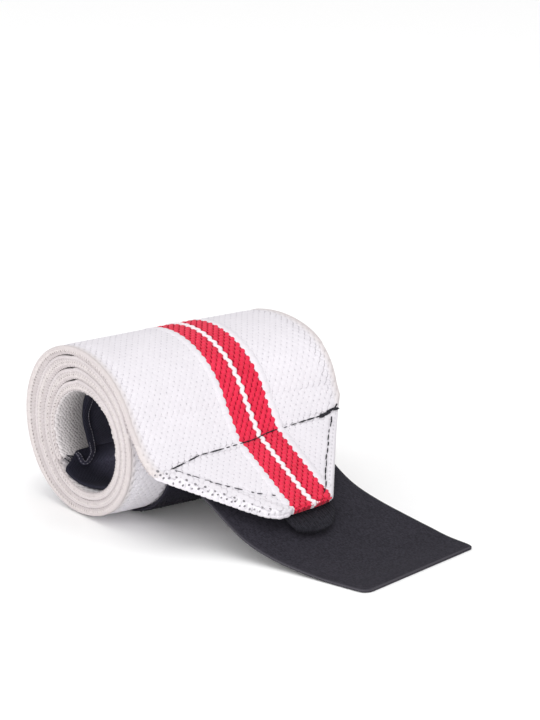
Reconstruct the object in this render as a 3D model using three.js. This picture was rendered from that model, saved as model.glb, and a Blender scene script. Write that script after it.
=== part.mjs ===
// Wrist wrap, rolled up and lying on its side with its closing strap laid out on the floor.
// A woven elastic band winds outwards from an open core and leaves the roll as a pointed flap.
// Millimetres, +Z up. X runs along the strap, Y along the axis of the roll, the floor is z = 0.

import * as THREE from 'three';

// Driving sizes of the cloth
const BAND_WIDTH = 76;
const BAND_THICKNESS = 2.2;
const STRAP_WIDTH = 52;
const STRAP_THICKNESS = 1.2;
const PATCH_WIDTH = 50;
const PATCH_THICKNESS = 1.0;
const TAB_WIDTH = 18;
const TAB_THICKNESS = 1.2;
const LOOP_WIDTH = 26;
const LOOP_THICKNESS = 1.2;
const SEWN_GAP = 0.3;
const HALF_WIDTH = BAND_WIDTH / 2;

// The roll: quarter stations round the core, seen from the near end with 0 degrees at +X
const ROLL_SECTIONS = {
  right: { coreRadius: 17.2, pitch: 2.9 },
  top: { coreRadius: 14.7, pitch: 3.55 },
  left: { coreRadius: 15.3, pitch: 4.76 },
  bottom: { coreRadius: 13.6, pitch: 2.7 },
};
const CORE_START_ANGLE = 215;
const TURNS_TO_FLAP = 3.53;
const STEPS_PER_TURN = 36;
const LEFT_SETTLE = 2.2;
const FLOOR_PRESS = 0.6;

// The flap: its mid line after it leaves the roll, from the centre of the roll's core and the floor
const FLAP_LINE = [
  { x: 29.9, z: 31.4 },
  { x: 33.2, z: 27.4 },
  { x: 38.2, z: 24.4 },
  { x: 49.2, z: 18.9 },
  { x: 58.5, z: 14.1 },
  { x: 64.0, z: 11.8 },
];
const FLAP_STEPS = 20;
const HEM_EXTRA = 0.8;
const HEM_WIDTH = 9;

// The flap's outline, as its two side edges at distances x from the core
const FLAP_OUTLINE = [
  { x: 29.0, near: -38, far: 38 },
  { x: 39.3, near: -38, far: 29.8 },
  { x: 61.3, near: -13.2, far: 13.3 },
  { x: 62.5, near: -11.8, far: 8.0 },
  { x: 64.0, near: -9.2, far: -4.5 },
];

// The strap is sewn under the flap and turned a little towards the far side
const STRAP_BASE_X = 37;
const STRAP_TURN = 15.5;
const STRAP_SECTIONS = [
  { along: 1.5, near: 16.6, centre: 20.6, far: 24.2 },
  { along: 6, near: 14.0, centre: 18.4, far: 20.2 },
  { along: 13, near: 9.3, centre: 14.4, far: 14.2 },
  { along: 20, near: 5.6, centre: 9.8, far: 10.2 },
  { along: 29, near: 3.0, centre: 5.7, far: 7.3 },
  { along: 39, near: 1.5, centre: 3.0, far: 5.0 },
  { along: 49, near: 0.7, centre: 1.2, far: 2.9 },
  { along: 56, near: 0.6, centre: 0.6, far: 1.5 },
  { along: 65, near: 0.6, centre: 0.6, far: 0.6 },
];
const STRAP_STEPS = 32;

// The tab's mid line, sewn under the tip of the flap
const TAB_LINE = [
  { x: 55.5, z: 12.2 },
  { x: 59.5, z: 10.2 },
  { x: 63.5, z: 8.5 },
  { x: 67.2, z: 7.2 },
  { x: 70.8, z: 6.2 },
];
const TAB_CENTRE_Y = 4;
const TAB_STEPS = 14;

// The patch and the thumb loop, in turns along the band from its inner end
const PATCH_START_TURN = 2.58;
const PATCH_END_TURN = 3.04;
const PATCH_NEAR_Y = -23;
const LOOP_START_TURN = 0.02;
const LOOP_END_TURN = 0.95;
const LOOP_NEAR_Y = -28;
const LOOP_SLANT = 7.5;
const LOOP_LOW_ANGLE = 285;

// A value that runs smoothly round the roll through its four quarter stations
function roundTheRoll(name, angle) {
  const { right, top, left, bottom } = ROLL_SECTIONS;
  const [r, t, l, b] = [right[name], top[name], left[name], bottom[name]];
  const mean = (r + t + l + b) / 4;
  const sideways = ((r - l) / 2) * Math.cos(angle);
  const upwards = ((t - b) / 2) * Math.sin(angle);
  const squeeze = ((r - t + l - b) / 4) * Math.cos(2 * angle);
  return mean + sideways + upwards + squeeze;
}

// Angle round the core after a number of turns, winding clockwise as seen from the near end
function turnAngle(turn) {
  return THREE.MathUtils.degToRad(CORE_START_ANGLE - 360 * turn);
}

// Height of the core above the floor: the patch under the roll is pressed flat where it rests
function coreHeight() {
  const lowTurn = (CORE_START_ANGLE - 270) / 360 + 3;
  const { coreRadius, pitch } = ROLL_SECTIONS.bottom;
  const outerRadius = coreRadius + pitch * lowTurn + BAND_THICKNESS;
  return outerRadius + SEWN_GAP + PATCH_THICKNESS - FLOOR_PRESS;
}

const CORE_HEIGHT = coreHeight();

// How far the middle turns settle inwards on the roll's left side
function settle(turn, angle) {
  const leftness = Math.max(-Math.cos(angle), 0) ** 2;
  return LEFT_SETTLE * leftness * Math.sin((Math.PI * (turn - 0.1)) / 3);
}

// A point on the rolled band, at an offset outwards from its mid line
function rollPoint(turn, offset) {
  const angle = turnAngle(turn);
  const inner = roundTheRoll('coreRadius', angle) + roundTheRoll('pitch', angle) * turn;
  const radius = inner - settle(turn, angle) + BAND_THICKNESS / 2 + offset;
  return new THREE.Vector2(radius * Math.cos(angle), CORE_HEIGHT + radius * Math.sin(angle));
}

// The band's mid line from its inner end, round the roll and out to the tip of the flap
function bandLine() {
  const points = [];
  const steps = Math.round(TURNS_TO_FLAP * STEPS_PER_TURN);
  for (let i = 0; i <= steps; i += 1) {
    const turn = i / STEPS_PER_TURN;
    points.push({ at: rollPoint(turn, 0), turn });
  }
  const last = points[points.length - 1].at;
  const flap = new THREE.SplineCurve([
    points[points.length - 2].at,
    last,
    ...FLAP_LINE.map(({ x, z }) => new THREE.Vector2(x, z)),
  ]);
  const skipped = 1 / (FLAP_LINE.length + 1);
  for (let i = 1; i <= FLAP_STEPS; i += 1) {
    const along = skipped + ((1 - skipped) * i) / FLAP_STEPS;
    points.push({ at: flap.getPoint(along), turn: TURNS_TO_FLAP });
  }
  return points;
}

// Unit normal of a line of points in the XZ plane, on the left of the way it runs
function lineNormal(points, i) {
  const before = points[Math.max(i - 1, 0)];
  const after = points[Math.min(i + 1, points.length - 1)];
  const tangent = after.clone().sub(before).normalize();
  return new THREE.Vector2(-tangent.y, tangent.x);
}

// One closed solid from two grids of points, the outer and inner face of a sheet.
// place(row, column, side) gives a point, with side +1 on the outer face and -1 on the inner one.
function sheetSolid(rows, columns, place) {
  const positions = [];
  const index = [];
  for (const side of [1, -1]) {
    for (let row = 0; row < rows; row += 1) {
      for (let column = 0; column < columns; column += 1) {
        positions.push(...place(row, column, side).toArray());
      }
    }
  }
  const outer = (row, column) => row * columns + column;
  const inner = (row, column) => rows * columns + outer(row, column);
  const quad = (a, b, c, d) => index.push(a, b, c, a, c, d);
  for (let row = 0; row + 1 < rows; row += 1) {
    for (let column = 0; column + 1 < columns; column += 1) {
      quad(outer(row, column), outer(row + 1, column), outer(row + 1, column + 1), outer(row, column + 1));
      quad(inner(row, column), inner(row, column + 1), inner(row + 1, column + 1), inner(row + 1, column));
    }
    const last = columns - 1;
    quad(inner(row, 0), inner(row + 1, 0), outer(row + 1, 0), outer(row, 0));
    quad(outer(row, last), outer(row + 1, last), inner(row + 1, last), inner(row, last));
  }
  for (let column = 0; column + 1 < columns; column += 1) {
    const end = rows - 1;
    quad(outer(0, column), outer(0, column + 1), inner(0, column + 1), inner(0, column));
    quad(inner(end, column), inner(end, column + 1), outer(end, column + 1), outer(end, column));
  }
  const geometry = new THREE.BufferGeometry();
  geometry.setAttribute('position', new THREE.Float32BufferAttribute(positions, 3));
  geometry.setIndex(index);
  geometry.computeVertexNormals();
  return geometry;
}

// Columns across a sheet: where each lies from edge to edge, and its share of the thickness there
const EDGE_COLUMNS = [
  { across: 0, inset: 0, share: 0.4 },
  { across: 0, inset: 0.7, share: 1 },
  { across: 0.25, inset: 0, share: 1 },
  { across: 0.5, inset: 0, share: 1 },
  { across: 0.75, inset: 0, share: 1 },
  { across: 1, inset: -0.7, share: 1 },
  { across: 1, inset: 0, share: 0.4 },
];

function columnAcross(column, near, far) {
  const { across, inset, share } = EDGE_COLUMNS[column];
  return { v: THREE.MathUtils.lerp(near, far, across) + inset, share };
}

// The flap's side edges at a distance from the core, full width on the roll
function flapEdges(x, onFlap) {
  if (!onFlap || x <= FLAP_OUTLINE[0].x) {
    return { near: -HALF_WIDTH, far: HALF_WIDTH };
  }
  let i = 1;
  while (i + 1 < FLAP_OUTLINE.length && x > FLAP_OUTLINE[i].x) {
    i += 1;
  }
  const [a, b] = [FLAP_OUTLINE[i - 1], FLAP_OUTLINE[i]];
  const share = THREE.MathUtils.clamp((x - a.x) / (b.x - a.x), 0, 1);
  return {
    near: THREE.MathUtils.lerp(a.near, b.near, share),
    far: THREE.MathUtils.lerp(a.far, b.far, share),
  };
}

// The turned-under corners thicken the flap's underside along its slanted edges
function hemThickness(v, near, far, onFlap) {
  if (!onFlap) {
    return 0;
  }
  const toNear = near > -HALF_WIDTH ? v - near : Infinity;
  const toFar = far < HALF_WIDTH ? far - v : Infinity;
  const nearest = Math.min(toNear, toFar);
  return HEM_EXTRA * THREE.MathUtils.smoothstep(HEM_WIDTH - nearest, 0, HEM_WIDTH * 0.6);
}

function wrapBand() {
  const line = bandLine();
  const points = line.map(({ at }) => at);
  const place = (row, column, side) => {
    const { at, turn } = line[row];
    const onFlap = turn >= TURNS_TO_FLAP;
    const { near, far } = flapEdges(at.x, onFlap);
    const { v, share } = columnAcross(column, near, far);
    const hem = side < 0 ? hemThickness(v, near, far, onFlap) : 0;
    const offset = side * share * (BAND_THICKNESS / 2 + hem);
    const surface = at.clone().addScaledVector(lineNormal(points, row), offset);
    return new THREE.Vector3(surface.x, v, surface.y);
  };
  return sheetSolid(line.length, EDGE_COLUMNS.length, place);
}

function closureStrap() {
  const along = new THREE.SplineCurve(STRAP_SECTIONS.map((row) => new THREE.Vector2(row.along, 0)));
  const rows = STRAP_SECTIONS.map(({ near, centre, far }) => new THREE.Vector3(near, centre, far));
  const heights = new THREE.CatmullRomCurve3(rows, false, 'catmullrom', 0.5);
  const turn = THREE.MathUtils.degToRad(STRAP_TURN);
  const columns = 9;
  const place = (row, column, side) => {
    const step = row / STRAP_STEPS;
    const distance = along.getPoint(step).x;
    const { x: near, y: centre, z: far } = heights.getPoint(step);
    const w = (2 * column) / (columns - 1) - 1;
    const bow = (near + far) / 2 - centre;
    const height = centre + ((far - near) / 2) * w + bow * w * w;
    const across = (w * STRAP_WIDTH) / 2;
    return new THREE.Vector3(
      STRAP_BASE_X + distance * Math.cos(turn) - across * Math.sin(turn),
      distance * Math.sin(turn) + across * Math.cos(turn),
      Math.max(height, STRAP_THICKNESS / 2) + (side * STRAP_THICKNESS) / 2,
    );
  };
  return sheetSolid(STRAP_STEPS + 1, columns, place);
}

function tipTab() {
  const line = new THREE.SplineCurve(TAB_LINE.map(({ x, z }) => new THREE.Vector2(x, z)));
  const points = line.getPoints(TAB_STEPS);
  const length = line.getLength();
  const round = TAB_WIDTH / 2;
  const columns = 5;
  const place = (row, column, side) => {
    const toEnd = length * (1 - row / TAB_STEPS);
    const past = Math.max(round - toEnd, 0);
    const half = Math.sqrt(Math.max(round * round - past * past, 4));
    const offset = (side * TAB_THICKNESS) / 2;
    const surface = points[row].clone().addScaledVector(lineNormal(points, row), offset);
    const v = TAB_CENTRE_Y + half * ((2 * column) / (columns - 1) - 1);
    return new THREE.Vector3(surface.x, v, surface.y);
  };
  return sheetSolid(TAB_STEPS + 1, columns, place);
}

// A strip of cloth that follows the rolled band at an offset from its mid line
function stripOnRoll(startTurn, endTurn, offset, thickness, edges) {
  const steps = Math.round((endTurn - startTurn) * STEPS_PER_TURN);
  const turns = Array.from({ length: steps + 1 }, (_, i) => {
    return THREE.MathUtils.lerp(startTurn, endTurn, i / steps);
  });
  const columns = 5;
  const place = (row, column, side) => {
    const at = rollPoint(turns[row], offset + (side * thickness) / 2);
    const { near, far } = edges(turnAngle(turns[row]));
    const v = THREE.MathUtils.lerp(near, far, column / (columns - 1));
    return new THREE.Vector3(at.x, v, Math.max(at.y, 0));
  };
  return sheetSolid(steps + 1, columns, place);
}

function loopPatch() {
  const offset = BAND_THICKNESS / 2 + SEWN_GAP + PATCH_THICKNESS / 2;
  const edges = () => ({ near: PATCH_NEAR_Y, far: PATCH_NEAR_Y + PATCH_WIDTH });
  return stripOnRoll(PATCH_START_TURN, PATCH_END_TURN, offset, PATCH_THICKNESS, edges);
}

function thumbLoop() {
  const offset = -(BAND_THICKNESS / 2 + SEWN_GAP + LOOP_THICKNESS / 2);
  const low = THREE.MathUtils.degToRad(LOOP_LOW_ANGLE);
  const edges = (angle) => {
    const near = LOOP_NEAR_Y - LOOP_SLANT * Math.cos(angle - low);
    return { near, far: near + LOOP_WIDTH };
  };
  return stripOnRoll(LOOP_START_TURN, LOOP_END_TURN, offset, LOOP_THICKNESS, edges);
}

function clothMaterial(color, roughness) {
  return new THREE.MeshStandardMaterial({ color, roughness, metalness: 0 });
}

function piece(name, geometry, material) {
  const mesh = new THREE.Mesh(geometry, material);
  mesh.name = name;
  return mesh;
}

const roll = new THREE.Group();
roll.add(
  piece('wrap_band', wrapBand(), clothMaterial(0xf0ecf2, 0.9)),
  piece('closure_strap', closureStrap(), clothMaterial(0x2d2c34, 0.75)),
  piece('tip_tab', tipTab(), clothMaterial(0x1f1e24, 0.85)),
  piece('loop_patch', loopPatch(), clothMaterial(0x232229, 0.95)),
  piece('thumb_loop', thumbLoop(), clothMaterial(0x24232b, 0.85)),
);

// The origin goes under the middle of the whole wrap, on the floor
const extent = new THREE.Box3().setFromObject(roll);
const middle = extent.getCenter(new THREE.Vector3());
roll.position.set(-middle.x, -middle.y, -extent.min.z);

const wristWrap = new THREE.Group();
wristWrap.add(roll);

export default wristWrap;
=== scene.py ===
"""Wrist wrap: a roll of woven elastic with a sewn flap, a hook strap, a tab, a patch and a thumb loop.

Lengths in the classes are millimetres in the roll's own frame, where the axis of the core stands at x = 0
and the floor is z = 0. They become metres in the shared frame when a mesh is made.
"""

import logging
import math
from dataclasses import dataclass, field
from enum import Enum
from functools import lru_cache
from typing import Optional, Sequence, Union

import bpy
import numpy as np
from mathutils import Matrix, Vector


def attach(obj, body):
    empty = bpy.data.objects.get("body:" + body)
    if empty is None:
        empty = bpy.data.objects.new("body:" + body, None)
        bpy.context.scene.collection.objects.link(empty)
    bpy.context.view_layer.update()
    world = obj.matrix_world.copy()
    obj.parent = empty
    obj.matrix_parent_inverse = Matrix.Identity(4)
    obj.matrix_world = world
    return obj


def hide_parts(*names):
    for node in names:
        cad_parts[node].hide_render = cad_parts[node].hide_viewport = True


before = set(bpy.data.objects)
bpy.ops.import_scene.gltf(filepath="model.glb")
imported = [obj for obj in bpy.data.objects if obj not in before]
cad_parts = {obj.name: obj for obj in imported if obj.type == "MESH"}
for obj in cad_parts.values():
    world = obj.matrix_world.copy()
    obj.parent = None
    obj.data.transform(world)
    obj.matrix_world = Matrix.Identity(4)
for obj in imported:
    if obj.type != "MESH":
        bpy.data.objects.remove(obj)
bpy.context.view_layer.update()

LOG = logging.getLogger("wrist_wrap")
MM = 0.001
ORIGIN = np.array([36.667, 2.212, 0.0])
BODY = "root"
UV_NAME = "weave"
UV_SCALE = 100.0
# Spans in metres over which painted shade darkens the core's yarn deeper in (y) and the thumb tape up the
# wall (z).
PAINTED_CORE_SHADE_SPAN = (-0.0405, -0.0300)
PAINTED_WALL_SHADE_SPAN = (0.0120, 0.0200)
GRAIN_SEED = 11
HOOP_SEED = 5
Array = np.ndarray
Piece = bpy.types.Object
Material = bpy.types.Material
Socket = bpy.types.NodeSocket
Pair = tuple[float, float]
Triple = tuple[float, float, float]
Quad = tuple[float, float, float, float]
Colour = Triple
Value = Union[bool, int, float, str, Colour, Socket]


def to_frame(points: Array) -> Array:
    """Moves points from the roll's own millimetres into the shared frame, in metres."""
    return (np.asarray(points, float) - ORIGIN) * MM


def smooth(value: Array, low: float, high: float) -> Array:
    """Smooth step of a value from 0 at low to 1 at high."""
    share = np.clip((np.asarray(value, float) - low) / (high - low), 0.0, 1.0)
    return share * share * (3.0 - 2.0 * share)


def unit(vectors: Array) -> Array:
    """Vectors at length one, along their last axis."""
    return vectors / np.linalg.norm(vectors, axis=-1, keepdims=True)


def pack(*parts: Array) -> Array:
    """Joins arrays of one shape along a new last axis."""
    return np.stack(parts, axis=-1)


def catmull(table: Sequence[Sequence[float]], steps: Array) -> Array:
    """Runs a uniform Catmull-Rom curve through a table of points.

    Args:
        table: Points of any dimension, one in each row.
        steps: Where to read the curve, from 0 at the first point to 1 at the last.

    Returns:
        One point for each step.
    """
    points = np.asarray(table, float)
    last = len(points) - 1
    along = np.clip(np.asarray(steps, float), 0.0, 1.0) * last
    i = np.minimum(along.astype(int), last - 1)
    w = (along - i)[:, None]
    before = points[np.maximum(i - 1, 0)]
    start, end = points[i], points[i + 1]
    after = points[np.minimum(i + 2, last)]
    lead, trail = (end - before) / 2, (after - start) / 2
    cubic = (2 * start - 2 * end + lead + trail) * w**3
    square = (3 * end - 3 * start - 2 * lead - trail) * w**2
    return cubic + square + lead * w + start


def distance_to_line(points: Array, line: Array) -> Array:
    """Shortest distance from plane points to a line of straight stretches.

    Args:
        points: Array (..., 2).
        line: Array (n, 2) of the line's corners.

    Returns:
        Array (...) of distances.
    """
    best = np.full(points.shape[:-1], np.inf)
    for start, end in zip(line[:-1], line[1:]):
        way = end - start
        share = np.clip(((points - start) @ way) / (way @ way), 0.0, 1.0)
        gap = points - (start + share[..., None] * way)
        best = np.minimum(best, np.linalg.norm(gap, axis=-1))
    return best


def lengths_along(line: Array) -> Array:
    """Distance along a line of straight stretches at each of its corners."""
    legs = np.linalg.norm(np.diff(line, axis=0), axis=1)
    return np.concatenate([[0.0], np.cumsum(legs)])


def walk_line(line: Array, step: float) -> tuple[Array, Array]:
    """Reads a line of straight stretches at even distances.

    Args:
        line: Array (n, d) of corners.
        step: Distance from one reading to the next.

    Returns:
        The points and the distances along the line.
    """
    reach = lengths_along(line)
    at = np.arange(0.0, reach[-1], step)
    points = pack(*(np.interp(at, reach, line[:, k]) for k in range(line.shape[1])))
    return points, at


def add_object(name: str, mesh: bpy.types.Mesh) -> Piece:
    """Puts a mesh into the scene as an object at the origin.

    Args:
        name: Name of the piece.
        mesh: Its mesh.

    Returns:
        The object.
    """
    piece = bpy.data.objects.new(name, mesh)
    bpy.context.scene.collection.objects.link(piece)
    return piece


def add_attribute(mesh: bpy.types.Mesh, name: str, values: Array) -> None:
    """Stores one number or one vector for each vertex of a mesh.

    Args:
        mesh: The mesh.
        name: Name of the attribute.
        values: Array (n,) or (n, 3).
    """
    values = np.asarray(values, np.float32)
    if values.ndim == 1:
        mesh.attributes.new(name, "FLOAT", "POINT").data.foreach_set("value", values)
    else:
        mesh.attributes.new(name, "FLOAT_VECTOR", "POINT").data.foreach_set("vector", values.ravel())


def hand_over(piece: Piece, slot: str, *nodes: str) -> Piece:
    """Rides a piece on the part's body, hides the CAD nodes that it replaces, and logs it with its slot.

    Args:
        piece: The finished piece.
        slot: Name of its material slot, shown in the log.
        nodes: CAD nodes that the piece replaces.

    Returns:
        The same piece.
    """
    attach(piece, BODY)
    if nodes:
        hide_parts(*nodes)
    LOG.info("%s: %d faces in slot %s", piece.name, len(piece.data.polygons), slot)
    return piece


@dataclass(frozen=True)
class Loft:
    """Rows of closed rings that make one sheet with its two faces and rounded edges.

    Attributes:
        points: Array (rows, ring, 3) in the roll's millimetres.
        flat: Array (rows, ring, 2), the same points on the uncut cloth, in millimetres.
    """

    points: Array
    flat: Array

    def build(self, name: str, material: Material, rim: Array) -> Piece:
        """Makes the closed mesh, smooth on its faces, with the cloth's own lengths as its UV map.

        Args:
            name: Name of the piece.
            material: Its finish.
            rim: How far each point shows the finish of the edge, from 0 to 1.

        Returns:
            The piece.
        """
        rows, ring = self.points.shape[:2]
        number = np.arange(rows * ring).reshape(rows, ring)
        here, there = number[:-1], number[1:]
        quads = np.stack([here, there, np.roll(there, -1, 1), np.roll(here, -1, 1)], -1).reshape(-1, 4)
        faces = quads.tolist() + [number[0].tolist(), number[-1][::-1].tolist()]
        mesh = bpy.data.meshes.new(name)
        mesh.from_pydata(to_frame(self.points).reshape(-1, 3).tolist(), [], faces)
        mesh.polygons.foreach_set("use_smooth", [True] * len(quads) + [False, False])
        corner = np.zeros(len(mesh.loops), np.int32)
        mesh.loops.foreach_get("vertex_index", corner)
        layer = mesh.uv_layers.new(name=UV_NAME)
        on_cloth = self.flat.reshape(-1, 2)[corner] / UV_SCALE
        layer.data.foreach_set("uv", on_cloth.astype(np.float32).ravel())
        mesh.update()
        add_attribute(mesh, "rim", np.ravel(rim))
        mesh.materials.append(material)
        return add_object(name, mesh)


@dataclass(frozen=True)
class Ring:
    """The columns of a sheet's closed ring: upper face, far edge, lower face, near edge.

    Attributes:
        upper: Columns on the upper face.
        lower: Columns on the lower face.
        turn: Points round each edge.
    """

    upper: int
    lower: int
    turn: int = 5

    def spread(self, near: Array, far: Array, inset: Array) -> tuple[Array, Array, Array]:
        """Lays the ring's columns across the cloth.

        Args:
            near: Near edge for each row.
            far: Far edge for each row.
            inset: How far the rounding of an edge reaches into the cloth, for each row.

        Returns:
            Place across the cloth, share of the half thickness from -1 to 1, and distance to the edge,
            each an array (rows, ring).
        """
        near, far, inset = (np.asarray(a, float)[:, None] for a in (near, far, inset))
        first, last = near + inset, far - inset
        up = np.linspace(0.0, 1.0, self.upper)[None, :]
        down = np.linspace(1.0, 0.0, self.lower)[None, :]
        bend = (np.linspace(90.0, -90.0, self.turn + 2)[1:-1] * math.pi / 180)[None, :]
        across = [
            first + (last - first) * up,
            last + inset * np.cos(bend),
            first + (last - first) * down,
            first - inset * np.cos(bend[:, ::-1]),
        ]
        rim = np.broadcast_to(np.sin(bend), across[1].shape)
        share = [np.ones_like(across[0]), rim, -np.ones_like(across[2]), rim[:, ::-1]]
        v = np.concatenate(across, axis=1)
        inner = np.minimum(v - near, far - v)
        return v, np.concatenate(share, axis=1), inner


@dataclass(frozen=True)
class Station:
    """Core radius and pitch of the winding at one quarter of the roll."""

    core_radius: float
    pitch: float


@dataclass
class BandPath:
    """Mid line of the band, wound clockwise round the core and then out along the flap."""

    right: Station = Station(17.2, 2.9)
    top: Station = Station(14.7, 3.55)
    left: Station = Station(15.3, 4.76)
    bottom: Station = Station(13.6, 2.7)
    start_angle: float = 215.0
    turns: float = 3.53
    core_height: float = 24.19
    thickness: float = 2.2
    settle: float = 2.2
    far_bulge: float = 2.75
    bulge_span: Triple = (-31.0, -9.0, 13.0)
    far_press: float = 0.6
    press_span: Quad = (-52.0, -40.0, -38.0, -26.0)
    loose_across: Pair = (6.0, 38.0)
    probe: float = 0.5
    flap_line: tuple[Pair, ...] = (
        (29.9, 31.4), (33.2, 27.4), (38.2, 24.4), (49.2, 18.9), (58.5, 14.3), (64.0, 12.4),
    )

    def __post_init__(self) -> None:
        """Reads the whole mid line once into tables along its length."""
        roll_turns = np.arange(0.0, self.turns, 1 / 720)
        roll = self.roll_point(roll_turns, 0.0)
        lead = self.roll_point(np.array([self.turns - 1 / 36, self.turns]), 0.0)
        knots = [*lead.tolist(), *self.flap_line]
        skipped = 1 / (len(knots) - 1)
        flap = catmull(knots, np.linspace(skipped, 1.0, 900))
        line = np.concatenate([roll, flap])
        way = unit(np.gradient(line, axis=0))
        self.line = line
        self.normal = pack(-way[:, 1], way[:, 0])
        self.reach = lengths_along(line)
        self.turn = np.concatenate([roll_turns, np.full(len(flap), self.turns)])
        self.flap_start = float(self.reach[len(roll)])
        self.length = float(self.reach[-1])
        self.flap_rows = slice(len(roll), None)

    def round_the_roll(self, name: str, angle: Array) -> Array:
        """A value of the four stations, run smoothly round the roll.

        Args:
            name: Field of the stations.
            angle: Angle round the core, in radians, 0 at +X.

        Returns:
            The value at each angle.
        """
        stations = (self.right, self.top, self.left, self.bottom)
        right, top, left, bottom = (getattr(station, name) for station in stations)
        mean = (right + top + left + bottom) / 4
        sideways = (right - left) / 2 * np.cos(angle)
        upwards = (top - bottom) / 2 * np.sin(angle)
        return mean + sideways + upwards + (right - top + left - bottom) / 4 * np.cos(2 * angle)

    def angle(self, turn: Array) -> Array:
        """Angle round the core after a number of turns, in radians."""
        return np.radians(self.start_angle - 360.0 * np.asarray(turn, float))

    def radius(self, turn: Array) -> Array:
        """Radius of the band's inner face, where the middle turns settle inwards on the left.

        Args:
            turn: Turns wound, from the inner end.

        Returns:
            Radii in millimetres.
        """
        angle = self.angle(turn)
        settled = self.settle * np.maximum(-np.cos(angle), 0.0) ** 2 * np.sin(np.pi * (turn - 0.1) / 3)
        core, pitch = (self.round_the_roll(name, angle) for name in ("core_radius", "pitch"))
        return core + pitch * turn - settled

    def spacing(self, turn: Array) -> Array:
        """Distance from a layer to the next one outwards."""
        return self.radius(turn + 1.0) - self.radius(turn)

    def roll_point(self, turn: Array, offset: Array) -> Array:
        """Points (x, z) on the wound band.

        Args:
            turn: Turns from the inner end.
            offset: Offset outwards from the mid line.

        Returns:
            Array (..., 2).
        """
        angle = self.angle(turn)
        radius = self.radius(turn) + self.thickness / 2 + offset
        return pack(radius * np.cos(angle), self.core_height + radius * np.sin(angle))

    def turn_at(self, s: Array) -> Array:
        """Turns wound at a length along the band."""
        return np.interp(s, self.reach, self.turn)

    def length_at_turn(self, turn: float) -> float:
        """Length along the band at a number of turns."""
        rows = self.turn < self.turns
        return float(np.interp(turn, self.turn[rows], self.reach[rows]))

    def length_at_x(self, x: Array) -> Array:
        """Length along the band where the flap is at a distance x from the core."""
        return np.interp(x, self.line[self.flap_rows, 0], self.reach[self.flap_rows])

    def x_at(self, s: Array) -> Array:
        """Distance x from the core at a length along the band."""
        return np.interp(s, self.reach, self.line[:, 0])

    def loose(self, s: Array, v: Array) -> Array:
        """How far the far side of the last turn lies flat on top and then stands off before the flap.

        Args:
            s: Lengths along the band.
            v: Places across the band.

        Returns:
            Heights off the roll in millimetres, below 0 where the turn lies flat.
        """
        on = s - self.flap_start
        start, most, end = self.bulge_span
        off = self.far_bulge * smooth(on, start, most) * (1 - smooth(on, most, end))
        start, pressed, until, end = self.press_span
        down = self.far_press * smooth(on, start, pressed) * (1 - smooth(on, until, end))
        return (off - down) * smooth(v, *self.loose_across)

    def place(self, s: Array, v: Array, n: Array) -> Array:
        """Points on the band.

        Args:
            s: Length along the band.
            v: Place across the band from its middle.
            n: Offset outwards from its mid line.

        Returns:
            Array (..., 3).
        """
        s, v, n = np.broadcast_arrays(s, v, n)
        n = n + self.loose(s, v)
        x = np.interp(s, self.reach, self.line[:, 0]) + n * np.interp(s, self.reach, self.normal[:, 0])
        z = np.interp(s, self.reach, self.line[:, 1]) + n * np.interp(s, self.reach, self.normal[:, 1])
        return pack(x, v, z)

    def out(self, s: Array) -> Array:
        """Unit vectors that point out of the band's outer face."""
        across, up = (np.interp(s, self.reach, self.normal[:, k]) for k in (0, 1))
        return unit(pack(across, np.zeros_like(across), up))

    def face(self, s: Array, v: Array) -> Array:
        """Unit vectors square to the outer face, also where the last turn stands off.

        Args:
            s: Lengths along the band.
            v: Places across the band.

        Returns:
            Array (n, 3).
        """
        along = self.place(s + self.probe, v, 0.0) - self.place(s - self.probe, v, 0.0)
        across = self.place(s, v + self.probe, 0.0) - self.place(s, v - self.probe, 0.0)
        square = unit(np.cross(along, across))
        return square * np.sign((square * self.out(s)).sum(axis=-1, keepdims=True))


class Nodes:
    """A node tree that takes new nodes."""

    tree: bpy.types.NodeTree

    def add(self, kind: str, links: dict[Union[int, str], Value], **settings: object) -> bpy.types.Node:
        """Adds a node.

        Args:
            kind: The node's type.
            links: Sockets to link or values to set, by the input's name or number.
            settings: The node's own settings.

        Returns:
            The node.
        """
        node = self.tree.nodes.new(kind)
        for name, value in settings.items():
            setattr(node, name, value)
        for name, value in links.items():
            self.put(node.inputs[name], value)
        return node

    def put(self, socket: Socket, value: Value) -> None:
        """Links a socket, or sets its own value.

        Args:
            socket: The input.
            value: A socket to link, a number, a vector or a colour.
        """
        if isinstance(value, Socket):
            self.tree.links.new(value, socket)
        elif isinstance(value, tuple):
            socket.default_value = (*value, 1.0) if len(socket.default_value) == 4 else value
        else:
            socket.default_value = value


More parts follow.
